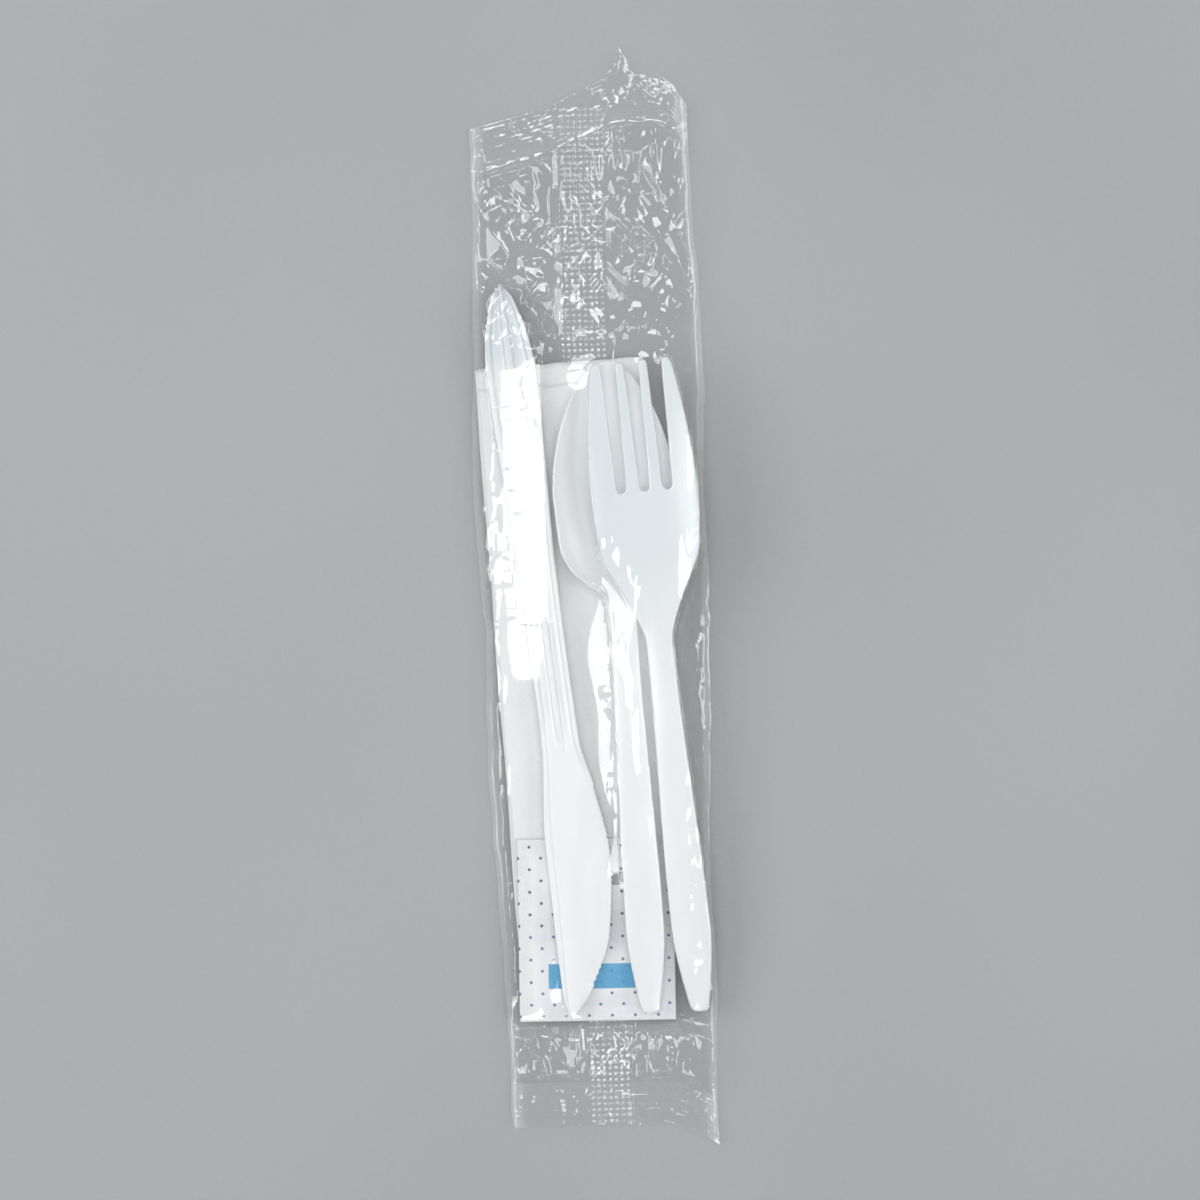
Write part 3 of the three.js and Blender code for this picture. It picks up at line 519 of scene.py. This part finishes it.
def napkinMaterial():
    material, wire, place = startMaterial("tissuePaper")
    fibre = wire.noise(wire.vector("MULTIPLY", place, (1.0, 0.55, 1.0)), 2.2, 6.0, 0.7)
    cloud = wire.noise(place, 0.12, 3.0)
    x, y = place.axis(0), place.axis(1)
    # fine pin emboss of the tissue
    dimple = wire.math("SINE", x * 5.2) * wire.math("SINE", y * 5.2)
    colour = wire.mixColour(cloud.step(0.3, 0.72) * 0.7 + fibre * 0.3, napkin["shade"], napkin["white"])
    height = fibre * 1.0 + dimple * 0.22 + cloud * 2.2
    shader = wire.node("BsdfPrincipled", None, {
        "Base Color": colour, "Roughness": 0.86 + fibre * 0.1, "Sheen Weight": 0.15,
        "Normal": wire.bump(height, 0.00011)})
    endMaterial(wire, shader)
    return material


def makeNapkin():
    wide, pitch = napkin["width"], napkin["pitch"]
    turn = pitch / 2
    profile = []
    for layer in range(napkin["layers"]):
        z = napkin["base"] + layer * pitch
        run = np.linspace(-wide + turn, -turn, napkin["columns"])
        run = run if layer % 2 == 0 else run[::-1]
        profile += [(x, z, layer) for x in run]
        if layer + 1 < napkin["layers"]:
            side = 1 if layer % 2 == 0 else -1
            middle = -turn if side > 0 else -wide + turn
            profile += [(middle + side * turn * math.cos(a), z + turn + turn * math.sin(a), layer + 0.5)
                        for a in np.linspace(-math.pi / 2, math.pi / 2, 7)[1:-1]]
    profile = np.array(profile)
    rows = napkin["rows"]
    s = np.linspace(0, 1, rows)[:, None]
    x, z, layer = profile[:, 0][None, :], profile[:, 1][None, :], profile[:, 2][None, :]
    # the front layer ends short, and every layer's edge wanders a little
    short = smooth(napkin["layers"] - 1.45, napkin["layers"] - 1.2, layer) * napkin["step"]
    wander = 0.18 * np.sin(0.31 * x + 1.7 * layer) + 0.10 * np.sin(0.83 * x - layer)
    top = -0.3 - short + wander
    y = mix(-napkin["length"] + 0.3 + 0.15 * np.sin(0.4 * x), top, s)
    x = x + 0.12 * np.sin(y * 0.13 + layer) * np.abs((x + wide / 2) / (wide / 2)) ** 3
    z = z + 0.05 * np.sin(0.21 * x + 0.11 * y) + 0.04 * np.sin(0.09 * y - 0.4 * x)
    points = np.stack([x, y, z + 0 * s], -1).reshape(-1, 3)
    piece = makeObject("napkinSheet", points, gridFaces(rows, profile.shape[0]))
    thick = piece.modifiers.new("ply", "SOLIDIFY")
    thick.thickness = napkin["sheet"] * mm
    thick.offset = 0
    layFlat(piece, "napkin", napkin["lean"], wide, (0, -napkin["length"]))
    return dress(piece, napkinMaterial(), "napkin")


contents.append(makeNapkin())
print("napkin folded")

# twin sachet: two filled paper pockets joined along a tear line
sachet = {
    "width": 36.0,
    "length": 42.0,
    "seal": 3.2,
    "paper": 0.35,
    "fill": 1.3,
    "sag": 0.5,
    "lean": -0.9,
    "rows": 108,
    "columns": 92,
    "dotPitch": (5.3, 5.2),
    "dotSize": 0.36,
    "dotBlur": 0.06,
    "printBlur": 0.08,
    "banners": [((-26.0, 31.2), (-10.0, 34.3)), ((-29.2, 7.5), (-7.6, 13.2))],
    "white": (0.88, 0.885, 0.895, 1),
    "shade": (0.83, 0.84, 0.855, 1),
    "ink": [(0.035, 0.04, 0.05, 1), (0.02, 0.16, 0.36, 1)],
    "bannerInk": [(0.36, 0.38, 0.41, 1), (0.045, 0.35, 0.62, 1)],
}


def sachetMaterial():
    material, wire, place = startMaterial("printedPaper")
    x, y = place.axis(0), place.axis(1)
    fibre = wire.noise(place, 1.6, 6.0, 0.65)
    cloud = wire.noise(place, 0.2, 3.0)
    pocket = sachet["length"] / 2
    across, along = sachet["dotPitch"]

    def spot(shift):
        fx = (wire.math("FRACT", x / across + (shift + 20.0)) - 0.5) * across
        fy = (wire.math("FRACT", y / along + (shift + 20.0)) - 0.5) * along
        return wire.math("SQRT", fx * fx + fy * fy)

    size, blur = sachet["dotSize"], sachet["dotBlur"]
    dot = 1 - spot(0.27).least(spot(0.77)).step(size - blur, size + blur)
    upper = y.step(pocket - 0.05, pocket + 0.05)
    paper = wire.mixColour(cloud.step(0.3, 0.7) * 0.6 + fibre * 0.4, sachet["shade"], sachet["white"])
    ink = wire.mixColour(upper, sachet["ink"][1], sachet["ink"][0])
    colour = wire.mixColour(dot * 0.85, paper, ink)
    blur = sachet["printBlur"]
    for (low, high), tone in zip(sachet["banners"], sachet["bannerInk"]):
        inside = (x.step(low[0] - blur, low[0] + blur) * (1 - x.step(high[0] - blur, high[0] + blur))
                  * y.step(low[1] - blur, low[1] + blur) * (1 - y.step(high[1] - blur, high[1] + blur)))
        colour = wire.mixColour(inside * (0.82 + fibre * 0.2), colour, tone)
    # knurled margins and tear line
    seal = sachet["seal"] - 0.4
    toSide = (x + sachet["width"]).least(0 - x)
    inPocket = wire.math("FRACT", y / pocket + 10.0) * pocket
    toEnd = inPocket.least(pocket - inPocket)
    margin = 1 - toSide.least(toEnd).step(seal - 0.3, seal + 0.3)
    knurl = wire.math("SINE", (x + y) * 6.0) * wire.math("SINE", (x - y) * 6.0)
    height = fibre * 0.5 + cloud * 1.5 + margin * knurl * 0.6
    shader = wire.node("BsdfPrincipled", None, {
        "Base Color": colour, "Roughness": 0.5 + fibre * 0.15, "IOR": 1.45,
        "Normal": wire.bump(height, 0.00009)})
    endMaterial(wire, shader)
    return material


def makeSachet():
    wide, long, pocket = sachet["width"], sachet["length"], sachet["length"] / 2
    rows, columns = sachet["rows"], sachet["columns"]
    xs = np.linspace(0, wide, columns)[None, :]
    ys = np.linspace(0, long, rows)[:, None]

    def swell(at, size):
        inside = np.clip((at - sachet["seal"]) / (size - 2 * sachet["seal"]), 0, 1)
        return np.sin(math.pi * inside) ** 0.75

    full = swell(ys % pocket, pocket) * swell(xs, wide)
    edge = np.minimum(np.minimum(xs, wide - xs), np.minimum(ys, long - ys))
    ripple = (0.10 * np.sin(1.9 * xs + 0.6 * np.sin(0.7 * ys))
              + 0.08 * np.sin(1.3 * ys + 0.9 * np.sin(0.5 * xs)))
    ripple = ripple * smooth(0.2, 3.0, edge) * (0.35 + full)
    thin = 1 - 0.4 * np.exp(-((ys - pocket) / 0.35) ** 2)
    upper = sachet["sag"] + sachet["paper"] * thin + sachet["fill"] * full * 0.97 + ripple * 0.6
    lower = sachet["sag"] * (1 - full)
    x = xs - wide + 0 * ys
    y = ys + 0 * xs
    over = np.stack([x, y, upper], -1)
    under = np.stack([x, y, lower], -1)
    ring = np.concatenate([over, under[:, ::-1]], 1)
    faces = gridFaces(rows, 2 * columns, True).tolist()
    last = (rows - 1) * 2 * columns
    faces += [[c, c + 1, 2 * columns - 2 - c, 2 * columns - 1 - c][::-1] for c in range(columns - 1)]
    faces += [[last + c, last + c + 1, last + 2 * columns - 2 - c, last + 2 * columns - 1 - c]
              for c in range(columns - 1)]
    piece = makeObject("twinSachet", ring.reshape(-1, 3), faces)
    layFlat(piece, "twin_sachet", sachet["lean"], wide, (0, long))
    return dress(piece, sachetMaterial(), "twin_sachet")


contents.append(makeSachet())
print("sachet filled")

# clear film sleeve: draped front sheet, flat back sheet and the fin seal folded under the back
film = {
    "plan": (62.0, 264.0),   # width and length of the height maps, mm
    "shift": (1.22, 1.26),   # the outlines below are measured from another origin
    "left": [(-122.4, -23.4), (-106, -23.5), (-74, -24.8), (-32.5, -26.4), (-11.8, -25.9), (27.4, -27.9),
             (68.8, -26.3), (108.3, -25.6)],
    "right": [(-128, 24.5), (-117, 24.0), (-94, 24.5), (-60, 24.0), (-36, 25.0), (7, 25.8), (26, 25.2),
              (46, 26.2), (90, 24.9), (113, 24.2)],
    "top": [(-1, 108.3), (-0.3, 112.6), (0.36, 119.2), (0.68, 119.6), (0.86, 117.5), (1, 112.4)],
    "foot": [(-1, -122.2), (0.5, -122.5), (0.8, -124.6), (1, -127.8)],
    "spike": (0.40, 0.13, 7.4),
    "cutTeeth": (21, 0.35),  # count across half the width, and depth
    "seal": 10.0,
    "sealHeight": 0.8,
    "crimpPitch": 1.1,
    "columns": 184,
    "rows": (30, 440, 30),
    "backColumns": 60,
    "backRows": 300,
    "rounds": 420,
    "clear": 0.2,
    "bare": 0.1,             # lower than this, nothing lies under the sheet
    "tint": (0.995, 0.997, 1.0, 1),
    # stretches below are from, to in mm: along the pack, or across it where it says so
    "puff": (11.3, (-22, -4), (55, 63), -10.0, 0.9),
    "shoulder": (6.0, (-101, -92), (-16, -4), 2.6, 2.2),
    "drawn": (-90, 0.44, 15, 16, 0.35),
    "rightLift": (3.2, (-3, 3), (-104, -90), (56, 70)),
    "emptyTop": (53, 62),
    "emptyFoot": (-101, -95),
    "rightFold": ((19, 23), (0, 25), (22, 25)),          # across, along, across
    "leftFold": (-22.5, -19),                            # across
    "overKnife": ((-30, 5), (54, 60), (-13, -9)),        # along, along, across
    "streak": (5.5, 5, (-66, -50), (18, 28)),
    "sag": (2.5, (-70, -56), (2, 16)),
    "gather": (4, 26),                                   # away from the seals
    "hollow": (0, 20),
    "slant": ((0.66, "slantRight"), (-0.61, "slantLeft")),
    "slantMiddle": (85.0, -106.0),
    # spacing, height, seed and stretch of each sheet of creases
    "creases": {
        "side": (9.0, 1.6, 5),
        "edge": (5.0, 0.7, 7),
        "broad": (6.4, 4.0, 11),
        "fine": (2.7, 1.3, 12),
        "faint": (2.4, 0.6, 13),
        "overKnife": (2.0, 0.6, 14, (2.6, 0.62)),
        "streak": (2.6, 0.9, 15, (0.7, 2.4)),
        "gather": (3.2, 1.5, 16, (0.6, 3.4)),
        "bars": (1.5, 1.0, 17),
        "sealWave": (5.0, 1.0, 18),
        "corner": (3.0, 2.2, 19, (0.7, 1.5)),
        "sealGrain": (1.4, 1.0, 20, (0.8, 0.7)),
        "back": (6.0, 0.5, 21),
        "backFine": (2.5, 0.2, 22),
        "slantRight": (4.2, 2.1, 23, (0.5, 2.6)),
        "slantLeft": (4.2, 2.1, 24, (0.5, 2.6)),
        "fin": (7.0, 0.25, 31),
        "patch": (8.0, 1.0, 41),
    },
}


def sample(field, column, row):
    rows, columns = field.shape
    column = np.clip(column, 0, columns - 1.001)
    row = np.clip(row, 0, rows - 1.001)
    i, j = column.astype(int), row.astype(int)
    s, t = column - i, row - j
    return ((field[j, i] * (1 - s) + field[j, i + 1] * s) * (1 - t)
            + (field[j + 1, i] * (1 - s) + field[j + 1, i + 1] * s) * t)


def facets(spacing, tall, seed, stretch=(1.0, 1.0), cell=0.25):
    # a sheet of flat triangles between scattered high and low points, as a fine height map
    make = np.random.default_rng(seed)
    wide, long = film["plan"]
    count = int(wide * long / (spacing * spacing * stretch[0] * stretch[1]))
    spots = make.uniform((-wide / 2, -long / 2), (wide / 2, long / 2), (count, 2))
    spots = np.concatenate([spots, [(-wide, -long), (wide, -long), (-wide, long), (wide, long)]])
    heights = make.uniform(0, tall, len(spots))
    squeezed = spots / np.array(stretch)
    flat, _, faces, origin, _, _ = delaunay_2d_cdt([Vector(p) for p in squeezed], [], [], 0, 1e-5)
    flat = np.array([p[:] for p in flat]) * np.array(stretch)
    heights = np.array([heights[o[0]] if o else 0.0 for o in origin])
    columns, rows = int(wide / cell) + 1, int(long / cell) + 1
    field = np.zeros((rows, columns))
    sliver = 1e-9
    slip = 1e-6
    for a, b, c in faces:
        (ax, ay), (bx, by), (cx, cy) = flat[a], flat[b], flat[c]
        area = (bx - ax) * (cy - ay) - (by - ay) * (cx - ax)
        if abs(area) < sliver:
            continue
        i0 = max(0, int((min(ax, bx, cx) + wide / 2) / cell))
        i1 = min(columns - 1, int((max(ax, bx, cx) + wide / 2) / cell) + 1)
        j0 = max(0, int((min(ay, by, cy) + long / 2) / cell))
        j1 = min(rows - 1, int((max(ay, by, cy) + long / 2) / cell) + 1)
        if i1 < i0 or j1 < j0:
            continue
        px = (np.arange(i0, i1 + 1) * cell - wide / 2)[None, :]
        py = (np.arange(j0, j1 + 1) * cell - long / 2)[:, None]
        wb = ((px - ax) * (cy - ay) - (py - ay) * (cx - ax)) / area
        wc = ((bx - ax) * (py - ay) - (by - ay) * (px - ax)) / area
        inside = (wb >= -slip) & (wc >= -slip) & (wb + wc <= 1 + slip)
        value = heights[a] + wb * (heights[b] - heights[a]) + wc * (heights[c] - heights[a])
        part = field[j0:j1 + 1, i0:i1 + 1]
        part[inside] = value[inside]
    return lambda x, y: sample(field, (x + wide / 2) / cell, (y + long / 2) / cell)


def creased(name, x, y):
    return facets(*film["creases"][name])(x, y)


def contentHeights(cell=0.5):
    # top of what the sleeve holds, on a plan grid
    wide, long = film["plan"]
    columns, rows = int(wide / cell) + 1, int(long / cell) + 1
    field = np.zeros((rows, columns))
    for piece in contents:
        points = np.array([(piece.matrix_world @ v.co)[:] for v in piece.data.vertices]) / mm
        i = np.clip(np.rint((points[:, 0] + wide / 2) / cell).astype(int), 0, columns - 1)
        j = np.clip(np.rint((points[:, 1] + long / 2) / cell).astype(int), 0, rows - 1)
        np.maximum.at(field, (j, i), points[:, 2])
    grown = field.copy()
    for dj in (-1, 0, 1):
        for di in (-1, 0, 1):
            grown = np.maximum(grown, np.roll(field, (dj, di), (0, 1)))
    return lambda x, y: sample(grown, (x + wide / 2) / cell, (y + long / 2) / cell)


def filmPlan(rows, u):
    # plan of a film sheet: sides, slanting upper seal and pulled corner
    foot, middle, top = rows
    shiftX, shiftY = film["shift"]
    topEnd = through(*film["top"])(u)
    footEnd = through(*film["foot"])(u)
    at, reach, tall = film["spike"]
    teeth, deep = film["cutTeeth"]
    saw = np.abs((u * teeth) % 1 - 0.5) * 2
    topTip = topEnd + tall * np.clip(1 - np.abs(u - at) / reach, 0, 1) + deep * saw
    footTip = footEnd - deep * saw
    seal = film["seal"]
    low = np.linspace(0, 1, foot)[:, None]
    mid = np.linspace(0, 1, middle + 2)[1:-1, None]
    high = np.linspace(0, 1, top)[:, None]
    y = np.concatenate([mix(footTip, footEnd + seal, low), mix(footEnd + seal, topEnd - seal, mid),
                        mix(topEnd - seal, topTip, high)])
    # the sides waver by the same creases, half out and half in
    waver = film["creases"]["edge"][1] / 2
    left = through(*film["left"])(y) + creased("edge", 0 * y - 20, y) - waver
    right = through(*film["right"])(y) - creased("edge", 0 * y + 20, y) + waver
    x = mix(left, right, (u + 1) / 2)
    return x + shiftX, y + shiftY


def holdUp(x, y, top, sealed):
    # lowest height of the front sheet, and where it is held
    footRow = film["rows"][0]
    tall, across, rise, fall = film["rightLift"]
    lift = tall * smooth(*across, x) * smooth(*rise, y) * (1 - smooth(*fall, y))
    sideHeight = 1.0 + creased("side", x, y) + lift
    floor = np.where(top > film["bare"], top + film["clear"], 0.75)
    # air held beside the spoon's bowl keeps the sheet up there
    tall, rise, fall, at, slope = film["puff"]
    floor = np.maximum(floor, tall * smooth(*rise, y) * (1 - smooth(*fall, y)) - slope * np.abs(x - at))
    # lower down the sheet turns sharply over a shoulder at the left fold
    tall, rise, fall, at, slope = film["shoulder"]
    shoulder = tall * smooth(*rise, y) * (1 - smooth(*fall, y)) - slope * np.abs(x - x[:, :1] - at)
    # below the sachet it is drawn straight down into the seal
    start, slope, reach, half, fade = film["drawn"]
    drawn = 0.6 + slope * np.clip(y - y[footRow], 0, reach) - fade * np.clip(np.abs(x - 2) - half, 0, 30)
    raised = np.maximum(np.maximum(floor, shoulder), np.where(y < start, drawn, 0))
    floor = np.where(sealed, floor, raised)
    fixed = sealed.copy()
    fixed[:, 0] = fixed[:, -1] = True
    floor[sealed] = film["sealHeight"]
    for edge in (0, -1):
        floor[:, edge] = np.where(sealed[:, edge], film["sealHeight"], sideHeight[:, edge])
    return floor, fixed


def drape(floor, fixed, across, along):
    # pull a sheet straight between its held edges and over what stands under it
    overshoot = 1.85
    z = floor.copy()
    wx, wy = 1 / across[1:-1] ** 2, 1 / along[1:-1] ** 2
    row, column = np.indices(z.shape)
    for _ in range(film["rounds"]):
        for colour in (0, 1):
            pull = z.copy()
            beside = z[1:-1, :-2] + z[1:-1, 2:]
            ahead = z[:-2, 1:-1] + z[2:, 1:-1]
            pull[1:-1, 1:-1] = (wx * beside + wy * ahead) / (2 * (wx + wy))
            eased = z + overshoot * (pull - z)
            move = ((row + column) % 2 == colour) & ~fixed
            z = np.where(move, np.maximum(floor, eased), z)
    return z


def hollowSide(x, y, z, top, sealed):
    # right of the fork's handle the sheet falls to the fold in a hollow
    reach = np.max(np.where(top > 5, x, -30), 1, keepdims=True) + 0.5
    share = np.clip((x - reach) / np.maximum(x[:, -1:] - reach, 0.5), 0, 1)
    brink = np.take_along_axis(z, np.argmax(x >= reach, 1)[:, None], 1)
    hollow = z[:, -1:] + (brink - z[:, -1:]) * (1 - share) ** 3
    lower = np.minimum(z, mix(z, hollow, 1 - smooth(*film["hollow"], y)))
    return np.where((x > reach) & ~sealed, lower, z)


def crumpleFilm(x, y, fromSeal):
    # where the sheet is slack: both empty ends, the side folds, over the knife and between spoon and fork
    ends = np.maximum(smooth(*film["emptyTop"], y), 1 - smooth(*film["emptyFoot"], y))
    near, fall, far = film["rightFold"]
    rightFold = smooth(*near, x) * (1 - smooth(*fall, y)) + 0.5 * smooth(*far, x)
    leftFold = 1 - smooth(*film["leftFold"], x)
    rise, fall, across = film["overKnife"]
    overKnife = smooth(*rise, y) * (1 - smooth(*fall, y)) * (1 - smooth(*across, x))
    at, width, rise, fall = film["streak"]
    streak = np.exp(-((x - at) / width) ** 2) * smooth(*rise, y) * (1 - smooth(*fall, y))
    gather = (1 - smooth(*film["gather"], fromSeal)) * ends
    folds = np.clip(leftFold + rightFold, 0, 1) * (1 - ends)
    patch = smooth(0.45, 0.65, creased("patch", x, y))
    crumple = creased("broad", x, y) * ends
    crumple += creased("fine", x, y) * np.clip(ends * patch + 0.5 * folds + 0.2 * streak, 0, 1)
    # long slanting creases cross in the empty ends
    fromMiddle = y - np.where(y > 0, *film["slantMiddle"])
    for turn, name in film["slant"]:
        slantX = x * math.cos(turn) - fromMiddle * math.sin(turn)
        slantY = x * math.sin(turn) + fromMiddle * math.cos(turn)
        crumple += creased(name, slantX, slantY) * ends * (patch if turn > 0 else 1 - patch)
    crumple += creased("faint", x, y) * np.clip(0.7 * folds + 0.3 * streak + 0.02, 0, 1)
    # the sheet sags left of the fork's handle and climbs to it
    deep, rise, fall = film["sag"]
    sagAt = 0.8 + 1.6 * np.sin(0.09 * y) + 0.8 * np.sin(0.23 * y + 1)
    dip = np.clip(np.where(x < sagAt, 1 - (sagAt - x) / 10, 1 - (x - sagAt) / 9.5), 0, 1)
    crumple -= deep * dip * smooth(*rise, y) * (1 - smooth(*fall, y))
    crumple += creased("overKnife", x, y) * overKnife * (0.35 + 0.65 * patch)
    crumple += creased("streak", x, y) * np.clip(0.5 * streak + folds, 0, 1)
    crumple += creased("gather", x, y) * gather
    return crumple, np.clip(ends + 0.5 * folds + 0.25 * streak, 0, 1)


def crimpSeals(x, y, z, depth, sealed):
    # fine ridges along each seal, broken into short bars
    ridge = np.abs(((depth / film["crimpPitch"]) % 1) - 0.5) * 2
    pressed = (0.16 + 0.16 * creased("bars", x, y)) * ridge + 0.45 * creased("sealGrain", x, y)
    return z + np.where(sealed, pressed + 0.9 * creased("sealWave", x, y) * smooth(0, 4, depth), 0)


def filmMaterial(name, haze, crisp, dots=None):
    material, wire, place = startMaterial(name)
    stretched = wire.vector("MULTIPLY", place, (1.0, 0.7, 1.0))
    normal = wire.node("NewGeometry", None, None, 1)
    crease = wire.node("Attribute", {"attribute_name": "crease"}, None, 2)
    cloud = wire.node("Attribute", {"attribute_name": "cloud"}, None, 2)

    def tilt(size, much, patch):
        cellColour = wire.node("TexVoronoi", {"feature": "F1"}, {"Vector": stretched, "Scale": 1 / size}, 1)
        lean = wire.vector("SUBTRACT", cellColour, (0.5, 0.5, 0.5))
        return wire.vector("SCALE", lean, scale=patch * much)

    patchA = wire.noise(place, 0.10, 1.0).step(0.42, 0.6)
    patchB = wire.noise(wire.vector("ADD", place, (40.0, 9.0, 0.0)), 0.16, 1.0).step(0.5, 0.64)
    leaned = wire.vector("ADD", normal, tilt(3.6, crisp * 0.34, patchA * crease))
    leaned = wire.vector("ADD", leaned, tilt(1.4, crisp * 0.4, patchB * crease))
    facing = wire.vector("NORMALIZE", leaned)
    if dots:
        # rows of small pressed squares
        pitch, emboss, half = dots
        fx = abs(wire.math("FRACT", place.axis(0) / pitch + 50.0) - 0.5)
        fy = abs(wire.math("FRACT", place.axis(1) / pitch + 100.0) - 0.5)
        pressed = 1 - (fx.most(fy) / half).least(1.0)
        facing = wire.node("Bump", None, {"Height": pressed, "Distance": emboss * mm, "Normal": facing})
    glance = wire.node("LayerWeight", None, {"Blend": 0.5, "Normal": facing}, 1)
    dusty = wire.noise(place, 1.2, 2.0, 0.7)
    share = 0.068 + wire.math("POWER", glance, 5.0) * 0.75 + haze * dusty + cloud * (0.06 + dusty * 0.14)
    gloss = wire.node("BsdfPrincipled", None, {
        "Base Color": (0.98, 0.985, 0.99, 1), "Metallic": 1 - cloud * 0.75,
        "Roughness": 0.05 + dusty * 0.05 + cloud * 0.05, "Normal": facing})
    clear = wire.node("BsdfTransparent", None, {"Color": film["tint"]})
    endMaterial(wire, wire.node("MixShader", None, {0: share, 1: clear, 2: gloss}))
    return material


def markFilm(piece, crease, cloud):
    for name, share in (("crease", crease), ("cloud", cloud)):
        mark = piece.data.attributes.new(name, "FLOAT", "POINT")
        mark.data.foreach_set("value", np.clip(share, 0, 1).ravel().astype(np.float32))


def makeFilm():
    columns, rows = film["columns"], film["rows"]
    total = sum(rows)
    u = np.linspace(-1, 1, columns)[None, :]
    x, y = filmPlan(rows, u)
    top = contentHeights()(x, y)
    row = np.arange(total)[:, None] + 0 * x
    sealed = (row < rows[0]) | (row >= total - rows[2])
    floor, fixed = holdUp(x, y, top, sealed)
    z = drape(floor, fixed, np.gradient(x, axis=1)[:, 1:-1], np.gradient(y, axis=0)[:, 1:-1])
    z = hollowSide(x, y, z, top, sealed)

    shiftY = film["shift"][1]
    topSeal = through(*film["top"])(u) + shiftY - film["seal"]
    footSeal = through(*film["foot"])(u) + shiftY + film["seal"]
    fromSeal = np.clip(np.minimum(topSeal - y, y - footSeal), 0, None)
    side = np.minimum(u + 1, 1 - u)
    hem = smooth(0.0, 0.06, side)
    enter = smooth(0.0, 2.5, fromSeal)
    crumple, slack = crumpleFilm(x, y, fromSeal)
    least = np.where(sealed, z, np.where(top > film["bare"], top + film["clear"], 0.5))
    z = np.maximum(z + crumple * hem * enter, least)
    slack = slack * np.maximum(enter, 0.3)
    z = crimpSeals(x, y, z, np.where(row < rows[0], footSeal - y, y - topSeal), sealed)
    # the upper right corner is puckered
    corner = smooth(0.25, 0.8, u) * smooth(-4, 8, y - topSeal)
    z = z + corner * creased("corner", x, y)
    points = np.stack([x, y, z], -1)
    front = makeObject("filmFront", points.reshape(-1, 3), gridFaces(total, columns))
    cloud = np.clip(1 - smooth(0.0, 0.16, side) + 0.5 * sealed, 0, 1)
    markFilm(front, slack, cloud)
    dress(front, filmMaterial("clearFilm", 0.012, 1.0), "film_sleeve")

    # the back sheet lies on the table, lifted over the fin
    backColumns = np.linspace(0, columns - 1, film["backColumns"]).round().astype(int)
    backRows = np.unique(np.linspace(0, total - 1, film["backRows"]).round().astype(int))
    pick = np.ix_(backRows, backColumns)
    bx, by, bz = x[pick], y[pick], z[pick]
    finLift = 0.5 * smooth(-6.0, -4.6, bx) * (1 - smooth(6.0, 7.4, bx))
    low = 0.06 + finLift + creased("back", bx, by) + creased("backFine", bx, by)
    low = np.where(sealed[pick], np.minimum(bz - 0.1, 0.62), np.minimum(low, bz - 0.12))
    low[:, 0], low[:, -1] = bz[:, 0], bz[:, -1]
    under = np.stack([bx, by, low], -1)
    back = makeObject("filmBack", under.reshape(-1, 3), gridFaces(len(backRows), len(backColumns))[:, ::-1])
    markFilm(back, slack[pick], cloud[pick])
    dress(back, filmMaterial("clearFilmBack", 0.012, 0.9), "film_sleeve")


finSeal = {
    "span": (-4.4, 5.8),
    "run": (-120.5, 113.8),
    "dots": (1.36, 0.17, 0.27),   # pitch and depth in mm, half size as a share of the pitch
    "pleats": 1.6,                # per mm, in the plain strip beside the dots
    "columns": 40,
    "rows": 520,
    "crease": 0.3,
    "cloud": 0.6,
}


def makeFinSeal():
    columns, rows = finSeal["columns"], finSeal["rows"]
    x = np.linspace(*finSeal["span"], columns)[None, :] + np.zeros((rows, 1))
    y = np.linspace(*finSeal["run"], rows)[:, None] + np.zeros((1, columns))
    waver = 0.35 * np.sin(0.06 * y + 0.8) + 0.2 * np.sin(0.19 * y)
    edge = finSeal["span"][1]
    plain = smooth(edge - 2.2, edge - 1.6, x)
    pleats = np.abs(((x * finSeal["pleats"]) % 1) - 0.5)
    z = 0.1 + 0.2 * plain * pleats + creased("fin", x, y)
    points = np.stack([x + waver, y, z], -1)
    piece = makeObject("finSeal", points.reshape(-1, 3), gridFaces(rows, columns))
    markFilm(piece, np.full(x.shape, finSeal["crease"]), np.full(x.shape, finSeal["cloud"]))
    dress(piece, filmMaterial("finSealFilm", 0.12, 0.4, finSeal["dots"]), "film_sleeve")


makeFilm()
makeFinSeal()
print("film sealed")
